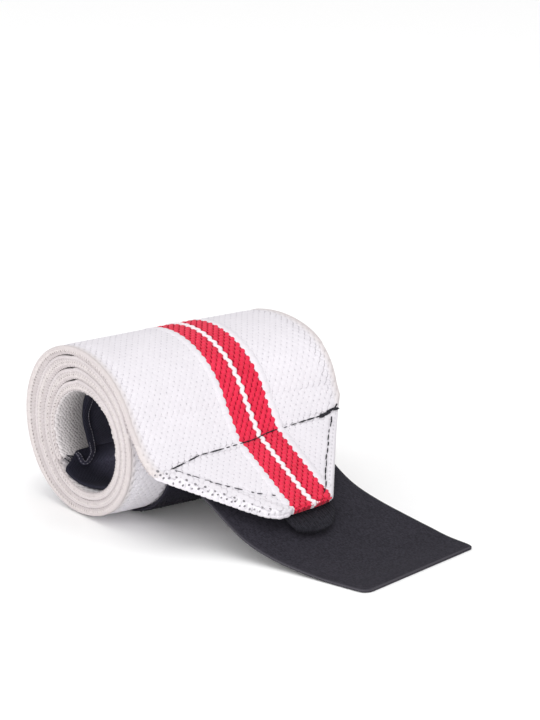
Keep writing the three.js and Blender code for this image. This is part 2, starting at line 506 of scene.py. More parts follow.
class Graph(Nodes):
    """Node tree of one material, with short calls for the nodes that the finishes share."""

    def __init__(self, name: str) -> None:
        """Starts a material that has only its shader.

        Args:
            name: Name of the material.
        """
        self.material = bpy.data.materials.new(name)
        self.material.use_nodes = True
        self.tree = self.material.node_tree
        self.shader = self.tree.nodes["Principled BSDF"]

    def math(self, operation: str, *values: Value) -> Socket:
        """Adds a math node."""
        return self.add("ShaderNodeMath", dict(enumerate(values)), operation=operation).outputs[0]

    def plus(self, first: Value, second: Value) -> Socket:
        """Adds two numbers."""
        return self.math("ADD", first, second)

    def minus(self, first: Value, second: Value) -> Socket:
        """Takes the second number from the first."""
        return self.math("SUBTRACT", first, second)

    def times(self, first: Value, second: Value) -> Socket:
        """Multiplies two numbers."""
        return self.math("MULTIPLY", first, second)

    def over(self, first: Value, second: Value) -> Socket:
        """Divides the first number by the second."""
        return self.math("DIVIDE", first, second)

    def part(self, vector: Socket, axis: int) -> Socket:
        """One of the three parts of a vector."""
        return self.add("ShaderNodeSeparateXYZ", {0: vector}).outputs[axis]

    def ramp(self, value: Value, low: float, high: float) -> Socket:
        """Smooth step of a value from 0 at low to 1 at high."""
        links = {"Value": value, "From Min": low, "From Max": high}
        return self.add("ShaderNodeMapRange", links, interpolation_type="SMOOTHSTEP").outputs["Result"]

    def blend(self, share: Value, first: Value, second: Value) -> Socket:
        """Mixes two colours."""
        return self.add("ShaderNodeMix", {0: share, 6: first, 7: second}, data_type="RGBA").outputs[2]

    def vector(self, *parts: Value) -> Socket:
        """Joins numbers to a vector."""
        return self.add("ShaderNodeCombineXYZ", dict(enumerate(parts))).outputs[0]

    def noise(self, vector: Socket, scale: float, detail: float = 2.0) -> Socket:
        """Soft noise from 0 to 1."""
        links = {"Vector": vector, "Scale": scale, "Detail": detail}
        return self.add("ShaderNodeTexNoise", links).outputs[0]

    def chance(self, vector: Socket) -> Socket:
        """A fixed random number for each vector."""
        node = self.add("ShaderNodeTexWhiteNoise", {"Vector": vector}, noise_dimensions="3D")
        return node.outputs["Value"]

    def stored(self, name: str) -> Socket:
        """A number stored on the mesh."""
        return self.add("ShaderNodeAttribute", {}, attribute_name=name).outputs["Fac"]

    def place(self) -> Socket:
        """The piece's own coordinates, in metres."""
        return self.add("ShaderNodeTexCoord", {}).outputs["Object"]

    def cloth(self) -> tuple[Socket, Socket]:
        """Length along the cloth and place across it, in millimetres, from the piece's UV map."""
        uv = self.add("ShaderNodeUVMap", {}, uv_map=UV_NAME).outputs[0]
        return self.times(self.part(uv, 0), UV_SCALE), self.times(self.part(uv, 1), UV_SCALE)

    def wave(self, cycles: Value) -> Socket:
        """Cosine of a number of cycles."""
        return self.math("COSINE", self.times(cycles, 2 * math.pi))

    def offset(self, cycles: Value) -> Socket:
        """Distance from the middle of a cycle, from -0.5 to 0.5."""
        return self.minus(self.math("FRACT", cycles), 0.5)

    def bump(self, height: Socket, distance: float) -> None:
        """Ends in a bump of a height in millimetres."""
        node = self.add("ShaderNodeBump", {"Strength": 1.0, "Distance": distance * MM, "Height": height})
        self.put(self.shader.inputs["Normal"], node.outputs[0])

    def finish(self, colour: Value, roughness: Value, sheen: float = 0.0, specular: float = 0.2) -> None:
        """Sets the shader's own colour, roughness, sheen and specular level.

        Args:
            colour: Base colour.
            roughness: Roughness, from 0 to 1.
            sheen: Weight of the sheen.
            specular: Level of the mirror-like part.
        """
        values = {"Base Color": colour, "Roughness": roughness, "Specular IOR Level": specular}
        values |= {"Sheen Weight": sheen, "Sheen Roughness": 0.5}
        for name, value in values.items():
            self.put(self.shader.inputs[name], value)


@dataclass(frozen=True)
class Weave:
    """The loom's pattern: yarn grains on slanted ribs, and the small holes between them."""

    along: float = 3.0
    across: float = 2.14
    stripe_middle: float = 4.4
    red_rows: int = 6
    white_rows: int = 2
    hole_width: float = 0.2
    hole_length: float = 0.4

    @property
    def row_step(self) -> float:
        """Distance across from one row of grains to the next."""
        return self.across / 2

    @property
    def first_row(self) -> float:
        """Place across of the row that the pattern counts from."""
        return self.stripe_middle + self.row_step / 2

    @property
    def slant(self) -> Array:
        """Unit vector along a grain on the flat cloth."""
        return unit(np.array([self.along / 2, -self.across / 2]))


@dataclass(frozen=True)
class WovenFinish:
    """White woven elastic with a red stripe, drawn in the cloth's own lengths.

    The face that shows is covered by yarn, so that this finish is seen in the holes between the grains,
    on the turns inside the roll and along the edges. Its hole colours are painted shade in the holes, its
    rim colour painted shade on the rounded edges, and its deep colour painted shade deeper in the core.
    """

    weave: Weave
    white: Colour = (0.72, 0.693, 0.732)
    hole: Colour = (0.55, 0.53, 0.56)
    rim: Colour = (0.60, 0.55, 0.545)
    deep: Colour = (0.36, 0.34, 0.345)
    red: Colour = (0.50, 0.010, 0.035)
    red_hole: Colour = (0.20, 0.003, 0.012)
    roughness: float = 0.9

    def material(self) -> Material:
        """Builds the material.

        Returns:
            The material.
        """
        g = Graph("woven_elastic")
        w = self.weave
        s, v = g.cloth()
        rim = g.stored("rim")
        side = g.over(g.minus(v, w.first_row), w.across)
        beat = g.over(s, w.along)
        ribs, beats = g.plus(beat, side), g.minus(beat, side)
        rib_step = w.along * w.across / math.hypot(w.along, w.across)
        run_step = math.hypot(w.along, w.across) / 2
        wide = g.over(g.times(g.offset(ribs), rib_step), w.hole_width)
        long = g.over(g.times(g.offset(beats), run_step), w.hole_length)
        gap = g.math("SQRT", g.plus(g.math("POWER", wide, 2.0), g.math("POWER", long, 2.0)))
        hole = g.minus(1.0, g.ramp(gap, 0.4, 1.6))
        cell = g.vector(g.math("FLOOR", ribs), g.math("FLOOR", beats), 3.0)
        depth = g.plus(g.times(g.chance(cell), 0.5), 0.5)
        # Painted shade: the holes darken, by a random amount in each.
        ground = g.blend(g.times(hole, depth), self.white, self.hole)
        # Painted shade: the rounded edges take the rim colour, and the inner face deep in the core the
        # deep colour.
        ground = g.blend(rim, ground, self.rim)
        ground = g.blend(g.stored("deep"), ground, self.deep)
        wander = g.times(g.wave(beat), 0.3)
        from_middle = g.minus(v, w.stripe_middle)
        reach = g.plus(g.math("ABSOLUTE", from_middle), wander)
        edge = (w.red_rows + w.white_rows / 2) * w.row_step
        in_stripe = g.minus(1.0, g.ramp(reach, edge - 0.3, edge - 0.1))
        zigzag = g.math("ABSOLUTE", g.minus(from_middle, g.times(g.wave(beat), 0.4)))
        # Painted shade: the holes in the stripe darken.
        red = g.blend(hole, self.red, self.red_hole)
        colour = g.blend(g.times(in_stripe, g.ramp(zigzag, 0.5, 0.7)), ground, red)
        fine = g.noise(g.vector(g.times(s, 0.8), g.times(v, 2.2), 0.0), 3.0, 4.0)
        yarn = g.plus(g.times(g.wave(ribs), 0.5), g.times(g.wave(beats), 0.3))
        height = g.plus(yarn, g.times(fine, 0.6))
        g.bump(g.minus(height, hole), 0.12)
        g.finish(colour, self.roughness, 0.1)
        return g.material


@dataclass(frozen=True)
class YarnFinish:
    """Yarn or thread with fine fibres, lighter on some strands, and with painted shade deeper in the core
    if asked.
    """

    name: str
    colour: Colour
    deep: Colour
    roughness: float = 0.8
    sheen: float = 0.1
    specular: float = 0.2
    grain: float = 900.0
    relief: float = 0.05
    dim: float = 1.0

    @lru_cache(maxsize=None)
    def material(self) -> Material:
        """Builds the material.

        Returns:
            The material.
        """
        g = Graph(self.name)
        place = g.place()
        strand = g.noise(place, self.grain, 3.0)
        patch = g.noise(place, self.grain * 0.12, 2.0)
        mixed = g.plus(g.times(strand, 0.6), g.times(patch, 0.5))
        colour = g.blend(g.ramp(mixed, 0.3, 0.85), self.deep, self.colour)
        # Painted shade: deeper in the core the colour fades to a darker copy of the deep colour.
        if self.dim < 1.0:
            dark = tuple(part * self.dim for part in self.deep)
            colour = g.blend(g.ramp(g.part(place, 1), *PAINTED_CORE_SHADE_SPAN), colour, dark)
        g.finish(colour, self.roughness, self.sheen, self.specular)
        g.bump(g.noise(place, self.grain * 2.2, 2.0), self.relief)
        return g.material


@dataclass(frozen=True)
class TapeFinish:
    """Dark tape with a fine weave and a paler cut edge, with painted light and shade along its ribs and
    painted shade up the core's wall if asked.
    """

    name: str
    colour: Colour
    light: Colour
    edge: Colour
    rib: float
    rib_height: float
    roughness: float = 0.8
    sheen: float = 0.02
    specular: float = 0.1
    cross: float = 0.5
    stripe: float = 0.0
    worn: float = 1.0

    @lru_cache(maxsize=None)
    def material(self) -> Material:
        """Builds the material.

        Returns:
            The material.
        """
        g = Graph(self.name)
        s, v = g.cloth()
        rows = g.over(v, self.rib)
        picks = g.over(s, self.rib * 1.4)
        twill = g.wave(g.plus(rows, g.times(picks, self.cross)))
        ribs = g.wave(g.minus(rows, g.times(picks, self.cross)))
        cell = g.vector(g.math("FLOOR", rows), g.math("FLOOR", picks), 1.0)
        fleck = g.chance(cell)
        cloud = g.noise(g.place(), 60.0, 3.0)
        share = g.plus(g.times(fleck, 0.6), g.times(cloud, 0.4))
        # Painted light and shade: the colour rises and falls in rows along the ribs.
        if self.stripe:
            share = g.plus(share, g.times(g.wave(rows), self.stripe))
        colour = g.blend(share, self.colour, self.light)
        # Painted shade: the colour darkens up the core's wall.
        if self.worn < 1.0:
            dark = tuple(part * self.worn for part in self.light)
            colour = g.blend(g.ramp(g.part(g.place(), 2), *PAINTED_WALL_SHADE_SPAN), colour, dark)
        colour = g.blend(g.stored("rim"), colour, self.edge)
        g.finish(colour, self.roughness, self.sheen, self.specular)
        height = g.plus(g.times(twill, 0.5), g.times(ribs, 0.5))
        g.bump(g.plus(height, g.times(fleck, 0.8)), self.rib_height)
        return g.material


RED_YARN = YarnFinish("red_yarn", (0.78, 0.026, 0.078), (0.62, 0.012, 0.044))
WHITE_YARN = YarnFinish("white_yarn", (0.725, 0.697, 0.737), (0.672, 0.645, 0.683))
# The core's yarn fades to painted shade deeper in the core.
CORE_YARN = YarnFinish("core_yarn", (0.77, 0.725, 0.732), (0.64, 0.60, 0.606), dim=0.36)
LINE_YARN = YarnFinish("line_yarn", (0.80, 0.765, 0.79), (0.73, 0.69, 0.715))
# The hole finishes colour small dark grains set into the holes between the yarn: painted shade in the
# holes.
RED_HOLE_SHADE = YarnFinish("red_hole", (0.40, 0.004, 0.030), (0.28, 0.002, 0.018), 0.9, 0.0, 0.02)
WHITE_HOLE_SHADE = YarnFinish("white_hole", (0.62, 0.595, 0.635), (0.44, 0.425, 0.46))
HEM_HOLE_SHADE = YarnFinish("hem_hole", (0.42, 0.40, 0.43), (0.13, 0.124, 0.135))
# The rim cord, outer cord, rim yarn and slot finishes are darker, warmer copies of the white yarn: painted
# shade on the roll's end faces and painted shade in the slots between the whip stitches.
SHADED_RIM_CORD = YarnFinish("rim_cord", (0.585, 0.538, 0.543), (0.522, 0.474, 0.478))
SHADED_OUTER_CORD = YarnFinish("outer_cord", (0.575, 0.526, 0.526), (0.515, 0.465, 0.464))
SHADED_RIM_YARN = YarnFinish("rim_yarn", (0.521, 0.474, 0.478), (0.457, 0.410, 0.412))
RIM_SLOT_SHADE = YarnFinish("rim_slot", (0.40, 0.355, 0.345), (0.24, 0.21, 0.205))
BLACK_THREAD = YarnFinish("black_thread", (0.030, 0.029, 0.036), (0.012, 0.012, 0.016), 0.6, 0.0, 0.15)
FINE_THREAD = YarnFinish("fine_thread", (0.115, 0.11, 0.13), (0.05, 0.048, 0.058), 0.7, 0.0, 0.15)
GREY_THREAD = YarnFinish("grey_thread", (0.26, 0.25, 0.29), (0.14, 0.135, 0.16), 0.7, 0.0, 0.15)
BLACK_YARN = YarnFinish("black_yarn", (0.028, 0.027, 0.037), (0.014, 0.013, 0.019), 0.8, 0.02, 0.1)
STRAP_CLOTH = TapeFinish(
    "strap_cloth", (0.011, 0.0098, 0.0145), (0.034, 0.0315, 0.043), (0.060, 0.056, 0.066), 0.42, 0.06
)
# The tab's colour rises and falls along its ribs: painted light and shade.
TAB_CLOTH = TapeFinish(
    "tab_cloth", (0.009, 0.0088, 0.012), (0.027, 0.026, 0.034), (0.016, 0.015, 0.020), 0.55, 0.08,
    stripe=0.2,
)
PATCH_CLOTH = TapeFinish(
    "patch_cloth", (0.0105, 0.0095, 0.0165), (0.021, 0.0195, 0.031), (0.030, 0.028, 0.040), 0.6, 0.10
)
# The thumb tape's edge colour is its own dark tone, shown along its near edge and on the lip; its body
# colours are far lighter, painted light deep in the core, which the fade up the wall darkens again with
# painted shade.
LOOP_CLOTH = TapeFinish(
    "loop_cloth", (0.104, 0.100, 0.150), (0.146, 0.142, 0.212), (0.0150, 0.0147, 0.0250), 0.5, 0.07,
    worn=0.22,
)


class Form(Enum):
    """What a scatter tree sets on each point."""

    GRAIN = "grain"
    HOOP = "hoop"


@dataclass(frozen=True)
class Spots:
    """Points for a scatter tree, each with the way that it runs and the way that it faces.

    Attributes:
        at: Array (n, 3) in the roll's millimetres.
        run: Array (n, 3) of unit vectors along the form.
        out: Array (n, 3) of unit vectors that the form's top faces.
        size: Array (n, 3) of scales along the form, across it and upwards.
    """

    at: Array
    run: Array
    out: Array
    size: Array

    @classmethod
    def joined(cls, groups: Sequence["Spots"]) -> "Spots":
        """The spots of several groups in one."""
        names = ("at", "run", "out", "size")
        return cls(*(np.concatenate([getattr(group, name) for group in groups]) for name in names))

    def mesh(self, name: str) -> bpy.types.Mesh:
        """Loose vertices that carry the directions and scales.

        Args:
            name: Name of the mesh.

        Returns:
            The mesh.
        """
        mesh = bpy.data.meshes.new(name)
        mesh.from_pydata(to_frame(self.at).tolist(), [], [])
        for label, values in (("run", self.run), ("out", self.out), ("size", self.size)):
            add_attribute(mesh, label, values)
        return mesh


class NodeTree(Nodes):
    """A Geometry Nodes tree with named inputs."""

    def __init__(self, name: str) -> None:
        """Starts a tree with a geometry input and output.

        Args:
            name: Name of the tree.
        """
        self.tree = bpy.data.node_groups.new(name, "GeometryNodeTree")
        self.tree.interface.new_socket("Geometry", in_out="OUTPUT", socket_type="NodeSocketGeometry")
        self.tree.interface.new_socket("Geometry", in_out="INPUT", socket_type="NodeSocketGeometry")
        self.source = self.tree.nodes.new("NodeGroupInput")
        self.result = self.tree.nodes.new("NodeGroupOutput")
        self.names: dict[str, str] = {}

    def input(self, name: str, kind: str) -> Socket:
        """Adds a named input and gives its socket inside the tree.

        Args:
            name: Name of the input.
            kind: Its socket type.

        Returns:
            The socket.
        """
        item = self.tree.interface.new_socket(name, in_out="INPUT", socket_type=f"NodeSocket{kind}")
        self.names[name] = item.identifier
        return self.source.outputs[name]

    def attribute(self, name: str) -> Socket:
        """Reads a vector stored on the points."""
        node = self.add("GeometryNodeInputNamedAttribute", {"Name": name}, data_type="FLOAT_VECTOR")
        return node.outputs["Attribute"]

    def close(self, geometry: Socket, material: Socket) -> None:
        """Ends the tree in plain smooth geometry with its material.

        Args:
            geometry: What the tree made.
            material: The input that names its material.
        """
        real = self.add("GeometryNodeRealizeInstances", {"Geometry": geometry})
        soft = self.add("GeometryNodeSetShadeSmooth", {"Geometry": real.outputs[0]})
        dressed = self.add("GeometryNodeSetMaterial", {"Geometry": soft.outputs[0], "Material": material})
        self.tree.links.new(dressed.outputs[0], self.result.inputs[0])

    def apply(self, name: str, mesh: bpy.types.Mesh, values: dict[str, object]) -> Piece:
        """Runs the tree on a mesh and keeps the result as a plain mesh.

        Args:
            name: Name of the new piece.
            mesh: What the tree reads.
            values: Value of each named input.

        Returns:
            The piece, with no modifier left on it.
        """
        piece = add_object(name, mesh)
        modifier = piece.modifiers.new("nodes", "NODES")
        modifier.node_group = self.tree
        for label, value in values.items():
            modifier[self.names[label]] = value
        graph = bpy.context.evaluated_depsgraph_get()
        made = bpy.data.meshes.new_from_object(piece.evaluated_get(graph), depsgraph=graph)
        piece.modifiers.clear()
        piece.data = made
        made.name = name
        for label in ("run", "out", "size"):
            if label in made.attributes:
                made.attributes.remove(made.attributes[label])
        return piece


@dataclass(frozen=True)
class Haberdashery:
    """Sets yarn, stitches and loops on points, and cords along lines, and logs each piece under one slot
    name.
    """

    slot: str

    @staticmethod
    @lru_cache(maxsize=None)
    def scatter_tree(form: Form) -> NodeTree:
        """Builds a tree that sets one form on each point.

        Args:
            form: A rounded grain, or an open hoop of thread.

        Returns:
            The tree.
        """
        tree = NodeTree(f"{form.value}_on_points")
        length, width, height = (tree.input(name, "Float") for name in ("Length", "Width", "Height"))
        sides, steps = (tree.input(name, "Int") for name in ("Sides", "Steps"))
        jitter, seed = tree.input("Jitter", "Float"), tree.input("Seed", "Int")
        material = tree.input("Material", "Material")
        if form is Form.GRAIN:
            ball = tree.add("GeometryNodeMeshUVSphere", {"Segments": sides, "Rings": steps, "Radius": 0.5})
            size = tree.add("ShaderNodeCombineXYZ", {"X": height, "Y": width, "Z": length})
            links = {"Geometry": ball.outputs[0], "Scale": size.outputs[0]}
            links |= {"Rotation": (0.0, math.pi / 2, 0.0)}
            shaped = tree.add("GeometryNodeTransform", links)
        else:
            sweep = math.radians(200.0)
            arc = tree.add(
                "GeometryNodeCurveArc",
                {"Resolution": steps, "Radius": length, "Start Angle": -sweep / 2, "Sweep Angle": sweep},
            )
            thread = tree.add("GeometryNodeCurvePrimitiveCircle", {"Resolution": sides, "Radius": width})
            shaped = tree.add(
                "GeometryNodeCurveToMesh",
                {"Curve": arc.outputs[0], "Profile Curve": thread.outputs[0], "Fill Caps": True},
            )
        turn = tree.add(
            "FunctionNodeAxesToRotation",
            {"Primary Axis": tree.attribute("run"), "Secondary Axis": tree.attribute("out")},
            primary_axis="X",
            secondary_axis="Z",
        )
        low = tree.add("ShaderNodeMath", {0: 1.0, 1: jitter}, operation="SUBTRACT")
        links = {"Seed": seed, 2: low.outputs[0], 3: 1.0}
        chance = tree.add("FunctionNodeRandomValue", links, data_type="FLOAT")
        links = {0: tree.attribute("size"), "Scale": chance.outputs[1]}
        scale = tree.add("ShaderNodeVectorMath", links, operation="SCALE")
        spread = tree.add(
            "GeometryNodeInstanceOnPoints",
            {
                "Points": tree.source.outputs["Geometry"],
                "Instance": shaped.outputs[0],
                "Rotation": turn.outputs[0],
                "Scale": scale.outputs[0],
            },
        )
        tree.close(spread.outputs[0], material)
        return tree

    @staticmethod
    @lru_cache(maxsize=None)
    def cord_tree() -> NodeTree:
        """Builds a tree that runs a round thread along each line of a mesh.

        Returns:
            The tree.
        """
        tree = NodeTree("thread_on_lines")
        radius, sides = tree.input("Radius", "Float"), tree.input("Sides", "Int")
        material = tree.input("Material", "Material")
        line = tree.add("GeometryNodeMeshToCurve", {"Mesh": tree.source.outputs["Geometry"]})
        ring = tree.add("GeometryNodeCurvePrimitiveCircle", {"Resolution": sides, "Radius": radius})
        tube = tree.add(
            "GeometryNodeCurveToMesh",
            {"Curve": line.outputs[0], "Profile Curve": ring.outputs[0], "Fill Caps": True},
        )
        tree.close(tube.outputs[0], material)
        return tree

    def grains(
        self,
        name: str,
        spots: Spots,
        size: Triple,
        material: Material,
        jitter: float = 0.0,
        detail: tuple[int, int] = (8, 5),
    ) -> Piece:
        """Sets a rounded grain on each spot.

        Args:
            name: Name of the piece.
            spots: Where the grains go.
            size: Length, width and height of a grain, in millimetres.
            material: Its finish.
            jitter: How much smaller the smallest grain is.
            detail: Sides and rings of a grain.

        Returns:
            The piece.
        """
        values = dict(zip(("Length", "Width", "Height"), (part * MM for part in size)))
        values |= {"Sides": detail[0], "Steps": detail[1], "Jitter": jitter}
        values |= {"Seed": GRAIN_SEED, "Material": material}
        return hand_over(self.scatter_tree(Form.GRAIN).apply(name, spots.mesh(name), values), self.slot)

    def hoops(
        self,
        name: str,
        spots: Spots,
        radius: float,
        thread: float,
        material: Material,
        jitter: float = 0.0,
        detail: tuple[int, int] = (5, 7),
    ) -> Piece:
        """Sets an open hoop of thread on each spot.

        Args:
            name: Name of the piece.
            spots: Where the hoops go; each opens away from its run.
            radius: Radius of a hoop of scale one, in millimetres.
            thread: Radius of its thread.
            material: Its finish.
            jitter: How much smaller the smallest hoop is.
            detail: Sides of the thread and steps round the hoop.

        Returns:
            The piece.
        """
        values = {"Length": radius * MM, "Width": thread * MM, "Height": 0.0, "Sides": detail[0]}
        values |= {"Steps": detail[1], "Jitter": jitter, "Seed": HOOP_SEED, "Material": material}
        return hand_over(self.scatter_tree(Form.HOOP).apply(name, spots.mesh(name), values), self.slot)

    def cords(
        self,
        name: str,
        lines: Sequence[Array],
        radius: float,
        material: Material,
        sides: int = 6,
    ) -> Piece:
        """Runs a thread along each line.

        Args:
            name: Name of the piece.
            lines: Arrays (n, 3) of points in the roll's millimetres.
            radius: Radius of the thread, in millimetres.
            material: Its finish.
            sides: Sides of the thread.

        Returns:
            The piece.
        """
        points = np.concatenate(lines)
        starts = np.cumsum([0] + [len(line) for line in lines[:-1]])
        edges = [(a + i, a + i + 1) for a, line in zip(starts, lines) for i in range(len(line) - 1)]
        mesh = bpy.data.meshes.new(name)
        mesh.from_pydata(to_frame(points).tolist(), edges, [])
        values = {"Radius": radius * MM, "Sides": sides, "Material": material}
        return hand_over(self.cord_tree().apply(name, mesh, values), self.slot)


class Yarn(Enum):
    """The groups of yarn that make the band's faces."""

    RED = "red_stripe_yarn"
    EDGE = "stripe_edge_yarn"
    NEAR = "near_white_yarn"
    FAR = "far_white_yarn"
    CORE = "core_white_yarn"


@dataclass(frozen=True)
class YarnLook:
    """How one group of yarn looks.

    Attributes:
        finish: Finish of the grains.
        size: Length, width and height of a grain.
        rise: Height of a grain's middle above the cloth.
        hole: Finish of the holes between the grains, if they show, a dark grain of painted shade.
        hole_size: Length, width and height of a hole's dark bottom.
        hole_run: Way that a hole runs on the flat cloth.
        jitter: How much smaller the smallest grain is.
        detail: Sides and rings of a grain.
    """

    finish: YarnFinish
    size: Triple
    rise: float
    hole: Optional[YarnFinish] = None
    hole_size: Triple = (0.6, 0.5, 0.12)
    hole_run: Pair = (1.0, -0.27)
    jitter: float = 0.04
    detail: tuple[int, int] = (8, 5)


WHITE_LOOK = YarnLook(WHITE_YARN, (3.0, 2.6, 0.27), 0.0, WHITE_HOLE_SHADE)
YARN_LOOKS = {
    Yarn.RED: YarnLook(RED_YARN, (3.0, 1.95, 0.9), -0.16, RED_HOLE_SHADE, (1.5, 0.6, 0.5), (1.0, 0.22)),
    Yarn.EDGE: YarnLook(WHITE_YARN, (4.4, 3.1, 0.56), 0.05),
    Yarn.NEAR: WHITE_LOOK,
    Yarn.FAR: WHITE_LOOK,
    Yarn.CORE: YarnLook(CORE_YARN, (2.7, 2.3, 0.24), 0.03, jitter=0.16, detail=(6, 4)),
}


@dataclass(frozen=True)
class Seam:
    """One sewn line on the flap.

    Attributes:
        name: Name of its stitches.
        line: Corners of the line, as distance from the core and place across.
        length: Length of a stitch that shows.
        gap: Cloth between two stitches.
        width: Width of the thread that shows.
        seed: Seed of the small differences between stitches.
        groove: How deep the thread pulls the cloth in.
        thread: Finish of the thread.
        shown: Start, end and width of single stitches across the band; empty for even stitches.
    """

    name: str
    line: tuple[Pair, ...]
    length: float
    gap: float
    width: float
    seed: int
    groove: float
    thread: YarnFinish
    shown: tuple[Triple, ...] = ()


BASE_SEAM = Seam(
    "base_seam_stitches",
    (
        (39.5, -31.6), (38.1, -25.3), (36.6, -19.2), (36.3, -12.4), (35.7, -4.7), (35.2, 2.3),
        (34.2, 5.4), (33.4, 10.9), (33.5, 13.4), (32.8, 20.6), (32.4, 28.0), (31.6, 33.6),
    ),
    length=0.72,
    gap=0.3,
    width=0.78,
    seed=21,
    groove=0.28,
    thread=BLACK_THREAD,
    shown=(
        (-31.6, -25.4, 0.66), (-24.2, -19.4, 0.62), (-18.4, -16.2, 0.34), (-15.4, -10.0, 0.62),
        (-9.2, -7.8, 0.34), (-6.8, -4.9, 0.3), (-4.0, 1.0, 0.42), (0.4, 2.9, 0.5), (2.6, 6.6, 0.55),
        (6.2, 11.4, 0.52), (13.6, 15.2, 0.26), (16.6, 18.8, 0.3), (19.6, 22.8, 0.56),
        (22.6, 26.0, 0.62), (26.2, 28.4, 0.5),
    ),
)
NEAR_SEAM = Seam(
    "near_seam_stitches",
    (
        (40.2, -31.0), (43.3, -26.8), (46.7, -22.6), (49.5, -18.7), (51.9, -14.6), (54.4, -10.8),
        (56.2, -6.4), (58.6, -1.5), (60.0, 3.0),
    ),
    length=0.75,
    gap=0.3,
    width=0.66,
    seed=22,
    groove=0.15,
    thread=FINE_THREAD,
    shown=(
        (-30.8, -28.8, 0.5), (-28.0, -26.9, 0.42), (-26.6, -24.8, 0.55), (-23.7, -21.8, 0.55),
        (-21.2, -19.6, 0.5), (-18.9, -17.5, 0.36), (-16.5, -14.3, 0.5), (-12.2, -11.4, 0.36),
        (-10.7, -9.1, 0.34), (-6.5, -5.4, 0.34),
    ),
)
FAR_SEAM = Seam(
    "far_seam_stitches",
    (
        (33.6, 31.6), (36.5, 29.1), (40.0, 26.1), (44.5, 22.3), (47.3, 19.9), (52.2, 16.2),
        (55.0, 14.2), (57.0, 12.9), (60.4, 9.9),
    ),
    length=2.5,
    gap=0.7,
    width=0.44,
    seed=23,
    groove=0.0,
    thread=BLACK_THREAD,
)
LOOSE_ENDS = (
    ((31.5, 33.6), (-1.2, 1.4), 2.0),
    ((31.4, 33.8), (0.5, 1.5), 1.6),
    ((33.4, 31.6), (1.6, -1.0), 2.2),
)


